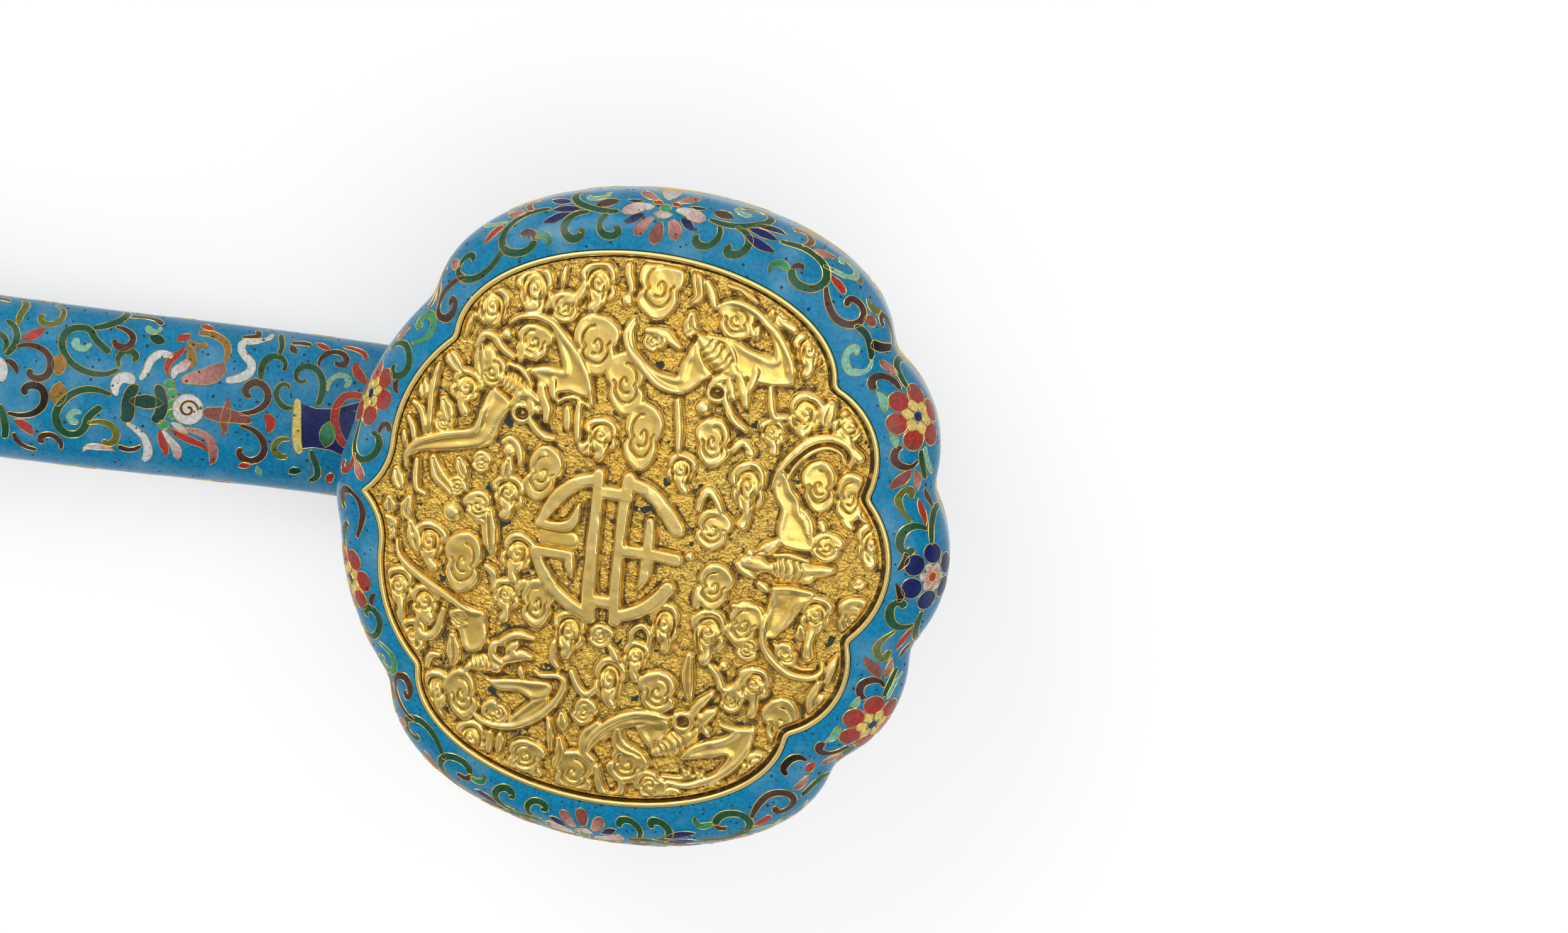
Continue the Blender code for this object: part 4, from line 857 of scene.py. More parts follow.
RIM_RUN = """
stem green 1.2 0,0 0.25,0.7 0.5,1 0.75,0.7 1,0
curl celadon/leafgreen 1.1 0.3,0.55 0.38,-0.2 0.58,-0.5 0.76,-0.15 0.66,0.3
leaf pink/red/navy/brown 1.3 0.5,1.15 0.62,1.5 0.8,1.65"""
RUN_PITCH = 12.4
RUN_END = 3.0                            # what a scroll leaves free at each end
RUN_OUT, RUN_SWING = 19.5, 2.4           # the scroll under the rim's widest line
TIP_FLOWER = (0.3, 7.5)
RED_FLOWERS = ((28.7, 7.8), (150.5, 7.6))
LOTUS = 86.5

head_inlay.blossom(TIP_FLOWER, 6, 4.2, 3.6, 3.9, "navy", "navy")
head_inlay.blossom(TIP_FLOWER, 6, 1.7, 1.8, 1.5, "pink", "white", math.pi / 6)
head_inlay.dot(TIP_FLOWER, 0.9, "red")
for side in (1, -1):
    for motifs in (UPPER_TIP, SIDE_LOBE, REAR, UPPER_ONLY if side > 0 else LOWER_ONLY,
                   UPPER_CUSP if side > 0 else LOWER_CUSP):
        lay_cells(head_inlay, read_motifs(motifs), side)
    for along, out in RED_FLOWERS:
        red_flower(head_inlay, (side * along, out), 2.0, 1.9, 1.8, "yellow", "yellow")
    head_inlay.dot((side * LOTUS, 8), 0.9, "leafgreen")
    head_inlay.blossom((side * LOTUS, 9.2), 2, 1.5, 1.5, 1.2, "red", "rose")
run_to = head_rim.length / 2 - RUN_END
running_scroll(head_inlay, RIM_RUN, -run_to, run_to, RUN_OUT, RUN_SWING, RUN_PITCH)
head_inlay.finish("head_rim", "blue_enamel")

# Head bezel
# A narrow gilt fillet soldered round the mouth of the head shell. Its foot turns in under the
# plaque and holds it, and its top is rounded and rubbed bright.

BEZEL_WALL = 0.9
BEZEL_PROUD = 0.4
BEZEL_DROP = 2.9
BEZEL_FOOT = 2.9
FOOT_HEIGHT = 0.8
BEZEL_GAP = 0.12                         # between the bezel and the enamel
GAP = 0.3                                # between other pieces that touch


def inwards(outline, distance):
    """A closed outline moved inwards by a distance."""
    side = across_from(outline[:-1], closed=True)
    moved_in = outline[:-1] + side * distance
    return np.concatenate([moved_in, moved_in[:1]])


def on_level(matrix, flat, height):
    """World places of points on a level of a box."""
    return to_world(matrix, np.concatenate([flat, np.full((len(flat), 1), float(height))], 1))


def even_picks(rim, spacing):
    """Which of the rim's points make an outline of nearly even steps."""
    return np.linspace(0, len(rim.near) - 1, int(rim.length / spacing) + 1).astype(int)[:-1]


def make_bezel(name, rim, node):
    """The gilt fillet: a rounded top, a plain wall and a foot."""
    near, far, foot = BEZEL_GAP, BEZEL_GAP + BEZEL_WALL, -BEZEL_DROP + FOOT_HEIGHT
    profile = [(near, -BEZEL_DROP), (near, 0.1)]
    for degrees in (30, 60, 90, 120, 150):
        angle = math.radians(degrees)
        across = near + BEZEL_WALL / 2 * (1 - math.cos(angle))
        profile.append((across, BEZEL_PROUD * (0.3 + 0.7 * math.sin(angle))))
    profile += [(far, 0.1), (far, foot), (near + BEZEL_FOOT, foot), (near + BEZEL_FOOT, -BEZEL_DROP)]
    picks = even_picks(rim, 0.6)
    rings = [on_level(rim.matrix, inwards(rim.near, reach)[picks], height) for reach, height in profile[::-1]]
    piece = finish_mesh(name, np.concatenate(rings), ring_faces(len(rings), len(rings[0])), 45, bezel_gilt,
                        "gilt_copper", node)
    # The foot under the plaque is painted dark, as shade in the gap and some soil.
    shaded_and_soiled = [1.0 if height < 0 and reach > near else 0.0 for reach, height in profile[::-1]]
    layer = piece.data.attributes.new("crease_shade_and_soil", "FLOAT", "POINT")
    layer.data.foreach_set("value", np.repeat(shaded_and_soiled, len(rings[0])))


bezel_gilt = gilt_material("bezel_gilt", "crease_shade_and_soil", 0.75, 0.0)
make_bezel("head_gilt_bezel", head_rim, "head_bezel")

# Head plaque
# A domed sheet of gilt copper, worked from the back and chased from the front: a longevity
# roundel in the middle, five bats round it and curling clouds all over the punched ground.
# Its fine surface is in four quarters, each a closed piece of the one sheet.

PLAQUE_GAP = 1.5                         # from the shell's upper edge in to the plaque's edge
PLAQUE_SHEET = 1.2
PLAQUE_SHIFT = 0.3                       # the plaque sits a little towards the shaft in its recess
EDGE_DROP = 0.6
HEAD_DOME = 2.6
RELIEF_TOP = 1.35
HEAD_RINGS = 300                         # rings of the plaque's mesh
GRAIN = 0.050                            # height of the punched ground's grains
HAND_WORK = 0.045                        # unevenness that the hammer left
QUARTERS = (("_upper_right", 1, 1), ("_upper_left", 0, 1), ("_lower_left", 0, 0), ("_lower_right", 1, 0))
SKIRT = 0.45                             # how far a raised shape slopes out beyond its line
CLOUD_OUTLINE = [(0.5, 0.02), (0.45, 0.25), (0.28, 0.42), (0.08, 0.45), (-0.04, 0.36), (-0.13, 0.45),
                 (-0.28, 0.45), (-0.42, 0.28), (-0.5, 0.08), (-0.48, -0.1), (-0.36, -0.27), (-0.2, -0.38),
                 (-0.04, -0.36), (0.06, -0.47), (0.24, -0.49), (0.42, -0.28)]
CLOUD_ARCH = [(-0.47, 0.22), (-0.26, 0.25), (-0.08, 0.31), (0.12, 0.28), (0.27, 0.14), (0.29, -0.06),
              (0.18, -0.25), (-0.04, -0.31), (-0.26, -0.25), (-0.47, -0.22)]


def eased(share):
    """A share from 0 to 1 that starts and ends gently."""
    return share * share * (3 - 2 * share)


def spiral(reach, shrink, start, turns, steps):
    """Points round the origin, over some turns, whose reach shrinks by a share."""
    share = np.linspace(0, 1, steps)
    angle = start + 2 * math.pi * turns * share
    return reach * (1 - shrink * share)[:, None] * np.stack([np.cos(angle), np.sin(angle)], 1)


class Sheet:
    """The relief of a plaque: heights over a grid of points that follows the plaque's edge."""

    def __init__(self, rim, rings, dome):
        self.rim, self.rings, self.dome = rim, rings, dome
        edge = inwards(rim.near, PLAQUE_GAP)
        angles = np.unwrap(np.arctan2(edge[:, 1], edge[:, 0]))
        radii = np.linalg.norm(edge, axis=1)
        steps = np.arange(-rings, rings + 1)
        across, up = np.meshgrid(steps, steps, indexing="ij")
        ring = np.maximum(abs(across), abs(up))
        place = np.where(across == ring, up, np.where(up == ring, 2 * ring - across,
                         np.where(across == -ring, 4 * ring - up, 6 * ring + across)))
        turn = 2 * math.pi * place / np.maximum(8 * ring, 1)
        turn = (turn - angles[0]) % (2 * math.pi) + angles[0]
        self.share = ring / rings
        reach = self.share * np.interp(turn, angles, radii)
        self.flat = np.stack([reach * np.cos(turn), reach * np.sin(turn)], -1).reshape(-1, 2)
        self.shape = ring.shape
        self.height = np.zeros(len(self.flat))
        self.chance = np.random.default_rng(11)

    def near(self, line, reach):
        """The grid points within reach of a line's box."""
        low, high = line.min(0) - reach, line.max(0) + reach
        return np.nonzero(((self.flat > low) & (self.flat < high)).all(1))[0]

    def gap(self, chosen, line):
        """Distance from grid points to a line, and the share along it of the nearest place."""
        best = np.full(len(chosen), 1e9)
        share = np.zeros(len(chosen))
        flat = self.flat[chosen]
        steps = np.linalg.norm(np.diff(line, axis=0), axis=1)
        ends = np.concatenate([[0], np.cumsum(steps)])
        for index, (start, end) in enumerate(zip(line, line[1:])):
            way = end - start
            along = np.clip((flat - start) @ way / max(way @ way, 1e-12), 0, 1)
            distance = ((flat - start - along[:, None] * way) ** 2).sum(1)
            closer = distance < best
            best[closer] = distance[closer]
            share[closer] = ((ends[index] + along * steps[index]) / max(ends[-1], 1e-9))[closer]
        return np.sqrt(best), share

    def raise_to(self, chosen, heights):
        """Lift grid points to heights where they are lower."""
        self.height[chosen] = np.maximum(self.height[chosen], heights)

    def stroke(self, line, widths, height, flank=0.0):
        """A raised line, its width given along it: round, or with flat top and sloping flanks."""
        line, _ = smooth(line)
        widths = np.atleast_1d(np.array(widths, float))
        chosen = self.near(line, widths.max() / 2 + SKIRT)
        gap, share = self.gap(chosen, line)
        half = np.interp(share, np.linspace(0, 1, len(widths)), widths) / 2 + SKIRT
        inside = gap < half
        deep = 1 - gap[inside] / half[inside]
        if flank:
            deep = np.clip(deep * half[inside] / (flank + SKIRT), 0, 1)
        else:
            deep = np.clip(1.25 * deep, 0, 1)
        crown = (deep * (2 - deep)) ** 0.9
        self.raise_to(chosen[inside], height * np.clip(half[inside] / 0.8, 0.5, 1) * crown)

    def pillow(self, outline, height, flank=0.9, dish=0.0):
        """A raised shape inside a closed line, rounded at its edge; dish sinks its middle again."""
        ring, _ = smooth(list(outline) + [outline[0]])
        chosen = self.near(ring, SKIRT)
        x, y = self.flat[chosen].T
        inside = np.zeros(len(chosen), bool)
        for start, end in zip(ring, ring[1:]):
            crosses = (start[1] > y) != (end[1] > y)
            rise = end[1] - start[1]
            place = start[0] + (y - start[1]) * (end[0] - start[0]) / (rise if rise else 1e-9)
            inside ^= crosses & (x < place)
        gap, _ = self.gap(chosen, ring)
        gap = np.where(inside, gap, -gap) + SKIRT
        chosen, gap = chosen[gap > 0], gap[gap > 0]
        deep = np.clip(gap / (flank + SKIRT), 0, 1)
        sunk = np.clip((gap - flank - SKIRT) / 1.2, 0, 1)
        self.raise_to(chosen, height * deep * (2 - deep) - dish * eased(sunk))

    def groove(self, line, width, depth):
        """A line cut down into what is raised."""
        line, _ = smooth(line)
        chosen = self.near(line, width)
        gap, _ = self.gap(chosen, line)
        cut = depth * np.clip(1 - (2 * gap / width) ** 2, 0, 1)
        self.height[chosen] = np.maximum(self.height[chosen] - cut, 0.0)

    def knob(self, centre, radius, height):
        """A small round boss."""
        self.stroke([(centre[0] - 0.01, centre[1]), (centre[0] + 0.01, centre[1])], 2 * radius, height)

    def cloud(self, centre, length, width, heading, tail=None, hand=1):
        """A cloud head: a lobed pillow with a curl cut into it, or an arch over a curl with a tail."""
        turn = math.radians(heading)
        ahead, aside = np.array((math.cos(turn), math.sin(turn))), np.array((-math.sin(turn), math.cos(turn)))
        centre = np.array(centre, float)

        def at(forward, side):
            return centre + ahead * forward * length + aside * side * width * hand

        length, width = length + 0.7, width + 0.7
        cut = 0.15 + 0.03 * width
        if tail is None:
            self.pillow([at(*place) for place in CLOUD_OUTLINE], 1.1, 0.4, 0.1)
            self.groove([at(0.62 * place[0], 0.62 * place[1]) for place in CLOUD_OUTLINE[:-2]], cut, 0.5)
            reach, turns = 0.17, 0.9
        else:
            self.pillow([at(*place) for place in CLOUD_OUTLINE], 1.05, 0.5, 0.5)
            self.groove([at(*place) for place in CLOUD_ARCH], 1.1 * cut, 0.6)
            end = np.array(tail, float)
            middle = (at(-0.3, 0) + end) / 2 + aside * 0.08 * width * hand
            self.stroke([at(0.02, 0), at(-0.22, 0), middle, end],
                        (0.34 * width, 0.3 * width, 0.2 * width, 0.3 * width), 1.2)
            reach, turns = 0.24, 1.2
        winding = spiral(reach, 0.86, 0.8 * math.pi, turns, 24)
        self.groove([at(*place) for place in winding], cut, 0.5)
        self.knob(at(0, 0), 0.02 * width, 1.2)

    def tongue(self, line, width):
        """A flame or leaf with a crease along its middle."""
        self.stroke(line, (0.5 * width, width, 0.85 * width, 0.2), 1.15, 0.5)
        self.groove(line, 0.5, 0.4)

    def blurred(self, heights, radius):
        """Heights of the grid smoothed over some steps."""
        reach = int(3 * radius)
        wide = np.pad(heights, reach, mode="edge")
        for axis in (0, 1):
            wide = np.apply_along_axis(np.convolve, axis, wide, bell(radius, reach), "valid")
        return wide

    def noise(self, size):
        """Random heights with grains of a size in millimetres, alike in all directions."""
        span = abs(self.flat).max() + size
        count = int(2 * span / size) + 3
        values = self.chance.standard_normal((count, count))
        place = (self.flat + span) / size
        x, y = place.astype(int).T
        right, up = eased(place % 1).T
        lower = values[x, y] * (1 - right) + values[x + 1, y] * right
        upper = values[x, y + 1] * (1 - right) + values[x + 1, y + 1] * right
        return (lower + (upper - lower) * up).reshape(self.shape)

    def finish(self, name, node, quarters=False):
        """Make the plaque, whole or in quarters, with its masks for painted shade and soil in hollows,
        for rubbed wear and painted highlight on ridges, and for the ground.
        """
        fade = np.clip((1 - self.share) / 0.02, 0, 1)
        relief = self.blurred(self.height.reshape(self.shape), 0.9) * fade
        bare = np.clip(1 - relief / 0.25, 0, 1)
        relief = relief + fade * (1 - bare) * HAND_WORK * self.noise(1.6) * np.clip(relief, 0, 1)
        grains = np.clip(self.noise(0.34), -1.8, 1.4) + 0.5 * self.noise(0.8)
        relief = np.clip(relief + bare * fade * GRAIN * grains, -0.25, RELIEF_TOP)
        # Hollows get a mask for soil and for painted shade in the creases.
        crease_shade_and_soil = np.clip((self.blurred(relief, 2.4) - relief - 0.03) * 4.5, 0, 1)
        # Ridges get a mask for rubbed wear and for a painted highlight.
        ridge_wear_and_highlight = np.clip((relief - self.blurred(relief, 7.0)) * 1.6 + 0.25 * (1 - bare), 0, 1)
        masks = {"crease_shade_and_soil": crease_shade_and_soil, "ridge_wear_and_highlight": ridge_wear_and_highlight, "ground": bare}
        base = -EDGE_DROP + self.dome * (1 - self.share ** 2)
        flat = self.flat.reshape(*self.shape, 2)
        top, foot = [to_world(self.rim.matrix, np.concatenate([flat, height[..., None]], -1))
                     for height in (base + relief, base - PLAQUE_SHEET)]
        normals = np.cross(np.gradient(top, axis=0), np.gradient(top, axis=1))
        normals /= np.linalg.norm(normals, axis=-1, keepdims=True)
        steps = self.rings + 1 if quarters else self.shape[0]
        grid = np.arange(steps * steps).reshape(steps, steps)
        faces = np.stack([grid[:-1, :-1], grid[1:, :-1], grid[1:, 1:], grid[:-1, 1:]], -1).reshape(-1, 4)
        edge = np.concatenate([grid[:-1, 0], grid[-1, :-1], grid[:0:-1, -1], grid[0, :0:-1]])
        below = steps * steps + np.arange(len(edge))
        beyond, under = np.roll(edge, -1), np.roll(below, -1)
        walls = np.stack([beyond, edge, below, under], -1)
        base_fan = np.stack([np.full(len(edge), below[-1] + 1), under, below], -1)
        all_faces = faces.tolist() + walls.tolist() + base_fan.tolist()
        for quarter, row, column in QUARTERS if quarters else (("", 0, 0),):
            row, column = row * self.rings, column * self.rings
            part = np.s_[row:row + steps, column:column + steps]
            under_edge = foot[part].reshape(-1, 3)[edge]
            hub = foot[part][steps // 2, steps // 2][None]
            points = np.concatenate([top[part].reshape(-1, 3), under_edge, hub])
            piece = finish_mesh(name + quarter, points, all_faces, 70, relief_gilt, "gilt_copper", node)
            for mask, values in masks.items():
                layer = piece.data.attributes.new(mask, "FLOAT", "POINT")
                layer.data.foreach_set("value", np.append(values[part].ravel(), np.zeros(len(edge) + 1)))
            corners = np.zeros((len(piece.data.loops), 3))
            corners[:4 * len(faces)] = normals[part].reshape(-1, 3)[faces.ravel()]
            piece.data.normals_split_custom_set(corners)


relief_gilt = gilt_material("relief_gilt", "crease_shade_and_soil", "ridge_wear_and_highlight", "ground")
head_sheet = Sheet(head_rim, HEAD_RINGS, HEAD_DOME)
head_sheet.flat[:, 0] -= PLAQUE_SHIFT

ROUNDEL = """
1.2 1.9 1.9 1.7 -14.4,0.6 -13,3.6 -11.1,6.3 -8.7,8.3 -5.4,9.5
1.3 1.2 1.5 1.3 0.3 -14.6,0.2 -12.3,0 -10,0.3 -8.7,1.6 -8.1,4.5
1.6 1.7 2.0 -5.3,10.4 -5,4 -4.9,-4 -4.6,-10 -4.1,-15.2
1.8 1.4 1.7 0,10.4 -0.35,5 -0.2,-4 0,-10 0.5,-15.1
1.8 -5,7.4 0,7.4
1.7 -4.4,-12.1 0.2,-12.1
1.9 2.0 2.2 -0.1,9.6 2.6,9.1 5.1,7.6 7.3,5.2 9.2,2.9
1.2 1.5 1.7 4.5,3.4 4.7,1 4.8,-2.3
1.8 1.7 1.7 0,-2.4 5,-2.3 9.8,-2.5
1.7 1.6 0.4 4.8,-2.6 4.7,-6 3.9,-8.8
1.7 1.9 2.0 0.4,-14.3 2.6,-13.6 5.2,-12.2 7.4,-10.1 9,-7.9
1.4 -14.7,-4.8 -8.7,-4.8
1.3 1.3 0.4 -8.6,-4.9 -8.4,-6.8 -7.9,-8.6
1.4 1.8 1.8 1.6 -14.8,-4.9 -13.2,-8.1 -10.8,-11.2 -8,-13.3 -4.6,-14.9"""
ROUNDEL_BAR = [(-14, -1), (-11, -0.8), (-8.2, -1), (-7.6, -2.4), (-8.4, -3.5), (-11, -3.7), (-14, -3.6)]
ROUNDEL_CENTRE = np.array((-2, -2.5))
ROUNDEL_RADIUS = 13.3
UPPER_LEFT = """
cloud 6.6 5.6 100 -27.5,36.2 -27.6,33.9
cloud 8.2 6.2 97 -20.6,40.4 -21,37.2
cloud 4.8 4.6 110 -15,38.1
cloud 7 5.8 95 -9.8,43.2 -10.3,38.8
cloud 9.8 7.6 100 -8.8,32.6
cloud 10.4 6.4 95 -3,26.8
cloud 5.6 5.8 90 -19.5,31.3
cloud 4.8 4.8 90 -26.2,25
cloud 5.4 5.2 80 -30.3,21.6 -30.1,17.3
cloud 5.6 5.4 90 -20.7,4.4 -20.9,0.4
cloud 9.4 5.4 82 -15.1,8.8
cloud 5.4 5.4 90 -5.9,17.2 -5.8,13.4
cloud 3.2 2.8 90 -26,9
cloud 4.4 4.4 100 -25.8,1.2
cloud 2.8 2.8 60 -29.8,3.9
cloud 3 3 60 -33.6,14.6
cloud 11.4 6 92 1.2,18.2
stroke 1.9 -12.1,42.6 -12.9,40.6 -14.4,39.2
stroke 0.8 -15.8,45 -16,41.4
stroke 1.3 -5.1,48.8 -5,45.6 -4.1,43.4 -4.2,42
stroke 1.7 -21.3,30.4 -21.5,27.9
stroke 1.7 -18.8,29.6 -18.9,28.5
stroke 1.6 -29.4,29 -28.4,31 -26.4,30.9 -25,29.4 -22.8,28.1
tongue 2.5 -34.5,27.3 -33,25.5 -31,23.6
tongue 2.3 -28.7,29 -28.4,26 -27.8,23.2
stroke 1.2 -35.7,24.7 -36.2,20 -36,15 -35.8,12.8
tongue 2.3 -39,22.3 -37.9,20 -37.6,17.8
stroke 1.1 -39.5,17.4 -38,16.5 -37.1,14.5 -36.7,12.4
stroke 1.1 -39.9,14.5 -38.7,12.6 -38.3,10.2
stroke 1 -40.4,11.8 -39.8,9.4
tongue 2.6 -34,18.6 -33,16.6 -32.5,14.8
tongue 2.4 -31,33.8 -32,32.2 -31.8,29.6
stroke 1.5 -22.6,13.2 -21.4,13.9 -20,12.8 -19.3,11 -19.2,9.6
tongue 2.4 -21.3,10 -21.4,7.6 -20.9,6.4
tongue 2.8 -8,15 -9,13.4
stroke 1.8 -12.3,20.8 -11.8,17.4
stroke 1.4 -10.4,22 -10.2,18.5 -9.8,15.5
tongue 2.2 -30,8.6 -29.3,7 -28.3,5.2
tongue 2.6 -34.6,8 -33.3,5.3 -31.2,3.4 -30.2,1.5
stroke 1.1 -37.5,7.2 -37.3,4 -36.8,2.2 -35.4,1.5
tongue 2.4 -41,4.8 -40.2,2.8 -39.6,1.2
knob 1 -4.5,40.9
knob 1.3 -27,28.1
knob 1.1 -21.4,11.8
knob 0.8 -32.7,32.3
knob 0.9 -24.4,31.8
knob 0.8 -15.4,12.3"""
UPPER_RIGHT = """
cloud 10.4 7.4 92 0.7,44
cloud 5.6 6 80 14.3,40.3
cloud 5.4 5.4 70 22.8,43 24.2,40.3
cloud 5.6 5 95 27.4,37.2 27.4,33
cloud 6.6 5.6 92 28.3,26.2 28.2,22.8
cloud 4 4 90 23.1,22.2 23.8,18.9
cloud 5.6 5.2 60 36.2,25.2 38.5,19.8
cloud 8 5.4 92 13.2,19
cloud 4.8 4.6 90 8.6,13.6 9.6,10
cloud 8.6 5.6 92 20.3,12.2 20.2,5.4
cloud 6.6 5.6 88 15.4,3.8
cloud 8.4 5.4 95 32.3,14
cloud 8 4.8 95 38,12.8
cloud 7.4 5 88 42.7,5.2 42.8,1.4
cloud 4.6 4.8 90 35.2,3.6
cloud 3.4 3 30 1,34.9
cloud 3 3 60 41.4,10.4
tongue 2 6.4,48.4 7,45.6 7.4,43.4 5.8,41.8
stroke 1.8 8.6,46 9.6,44.2 10.4,42.2
tongue 2.6 6.7,40 6.9,38.2 8.4,37.2
tongue 2 7,37.6 5.9,36.5
stroke 1.9 -0.4,36.4 2.4,36.4 4,35.2 5.3,34.4
stroke 1.2 17,39.6 17.6,38
stroke 1.1 18.2,39.6 18.2,37.9
stroke 1.4 12.4,46.2 14.6,46 17.4,44
stroke 1.4 21.8,29.5 22.4,26.4 23.2,24.9 25,25.1
tongue 2.6 32.4,28.4 31.9,25.8 32.2,23.8
stroke 1.4 6.4,25.3 7.2,20.5 7.7,16.2
stroke 1.4 16.6,18 18.4,19.8 20.4,18
stroke 1.5 12.4,7 12.9,9.6 13.9,10.5 15.2,9.2 16.6,6.8
stroke 1.8 33.6,7.6 34.2,6.4
tongue 2.2 30.6,8.8 31.6,6.6 32.2,4
tongue 2.2 26.6,3 24.8,1.6 23,0.6
stroke 1.8 37.4,8.6 38.8,7.6
knob 1.3 10.9,24.6
knob 0.9 19.8,18.2
knob 0.7 24.4,33.2
knob 0.7 22.3,0.6"""
LOWER_LEFT = """
cloud 6.4 5.6 90 -33.6,-6.8 -32.4,-11.2
cloud 10.4 6.2 86 -27.3,-9.4
cloud 6.6 5.6 82 -17.7,-6 -17.9,-11
cloud 5.2 4.8 90 -19,-13.8 -18.9,-18.2
cloud 8.2 5.2 95 -13.3,-14.4
cloud 6.8 5.4 84 -7.2,-18.4 -7.3,-22.8
cloud 3.6 3.8 90 -1.5,-18.4
cloud 6.2 5 95 -38.2,-15.8 -37.5,-21.8
cloud 5.4 4.6 100 -33.2,-17.8 -32.3,-21.4
cloud 6 4.4 82 -34.8,-24.6 -34,-28
cloud 6.2 4.6 110 -29.3,-33.4 -28.1,-38.6
cloud 8.8 5.2 103 -24.9,-33.6
cloud 4.4 3.4 170 -18.5,-35.7
cloud 5.8 5 90 -22.4,-41.4 -21,-44.8
cloud 5.6 6.2 90 -12.2,-43
cloud 7.8 7.2 88 -3.6,-44.6
cloud 4.6 3.6 80 -2.8,-32.8
cloud 3 3 90 -26.8,-19.8
cloud 4 3.4 100 -41.4,-5.8
tongue 2.6 -41.5,-0.6 -41,-3.2
tongue 2.3 -38,0.2 -38.3,-2.2 -37.1,-4
tongue 2.7 -37.2,-4.4 -36.2,-7 -35,-9.6
tongue 2.8 -23.6,0.4 -23,-4 -22,-7.8
stroke 1.7 -23,-9.4 -21.6,-10.5 -21.1,-13
stroke 1.5 -17,-12.4 -16,-10.8
stroke 1.7 -34,-20 -34,-23 -32.4,-24.3 -30.6,-22.8 -29.7,-18.6
tongue 2.7 -27.6,-23.4 -27,-26.6 -27.2,-29
stroke 1.3 -31.6,-29.6 -31.2,-27.6 -29.7,-27.1
stroke 1.5 -19,-39.8 -19,-43.2
stroke 1.6 -17.2,-39.9 -17.3,-42.8
tongue 2.6 -10.2,-45 -10,-47
tongue 2.2 -13.9,-44.4 -15,-46
tongue 2 -6.7,-38.8 -6.2,-41.4 -6.8,-44.6
stroke 1 -9,-35.3 -8.4,-38 -8,-41
tongue 2.1 -6.8,-34.2 -6,-37.2
stroke 1.7 -0.2,-34.6 -2.2,-37 -2.3,-39.8 -0.2,-41.7
stroke 1.4 -5.9,-25.8 -4.4,-28.6 -2.6,-29.5 -0.8,-27.4
stroke 1.5 -9.6,-21 -9.4,-24 -8.2,-25.6
stroke 1.6 -24.6,-1.6 -25.8,-1.2
knob 1.5 -15.1,-46.2
knob 1.2 -32.2,-20.6
knob 0.8 -36.2,-6.4
knob 1.6 -30.2,-1"""
LOWER_RIGHT = """
cloud 7.8 5.6 86 16.9,-6.3
cloud 7.8 5.8 90 16.9,-14.6 16.8,-19.8
cloud 7.6 5.4 82 22.9,-12.2
cloud 6.8 4.8 90 9.2,-14.2 9.8,-18.8
cloud 4.8 4.2 90 5,-20.9 5.3,-25
cloud 7.2 6.2 90 9.4,-27
cloud 6.2 5.2 95 34.9,-8.7 34.5,-16.4
cloud 7 5.2 80 41.3,-8.4
cloud 4 2.8 130 30.8,-16.6
cloud 5.6 5.2 82 25.9,-22.8 26.2,-28.4
cloud 3.8 3.8 90 22.6,-26.4
cloud 9 6 97 31.5,-29.4
cloud 4.6 4.2 70 28.2,-38
cloud 3.2 3.4 60 26.8,-40.8
cloud 4.8 4.2 55 21.4,-44.4
cloud 3.8 4.2 120 14.3,-46.7
cloud 6.6 6.4 75 5.8,-41.4
cloud 5.2 4.8 -50 10.2,-44.5
cloud 7.6 5.2 92 0.9,-26 1.7,-30.6
cloud 3.6 3.6 90 23.8,-16.6
tongue 2 14.2,-19.5 14.3,-23 15.2,-28
stroke 1.6 18.2,-20.8 19.6,-22.5 20.6,-24.5 22.5,-24.3 24,-22 25.4,-20
stroke 1 3.8,-19 3.8,-16.6 5.4,-15.3 6.8,-16.6 7,-19
stroke 1.9 40.4,-15.4 38.9,-17.8 38.4,-20.6
stroke 1.7 37,-21 36,-24 36.9,-27.2 39,-26.9 40,-24
tongue 2.4 16.2,-41.4 16.7,-40.6
tongue 2.4 18.6,-41.4 19,-40.6
stroke 1.7 0.5,-42.8 1.5,-46.4 3.5,-48.2 5.2,-46.4 5,-44.4
tongue 2.7 3.3,-35.4 4.3,-38 7.8,-39.4
stroke 1.6 14.2,-10.2 14.2,-7
stroke 1.2 20.6,-9.2 24.6,-9 25.9,-11.6 26,-14.4
tongue 2.2 32.6,-11.6 33.2,-14
stroke 1.6 0.4,-20.2 2,-22.4
tongue 2 40.8,-2.6 42.6,-1.6
knob 1.3 38.2,-24.3
knob 0.7 12,-1.6
knob 0.8 20.4,-20.4
knob 1.6 33.6,-35.4"""
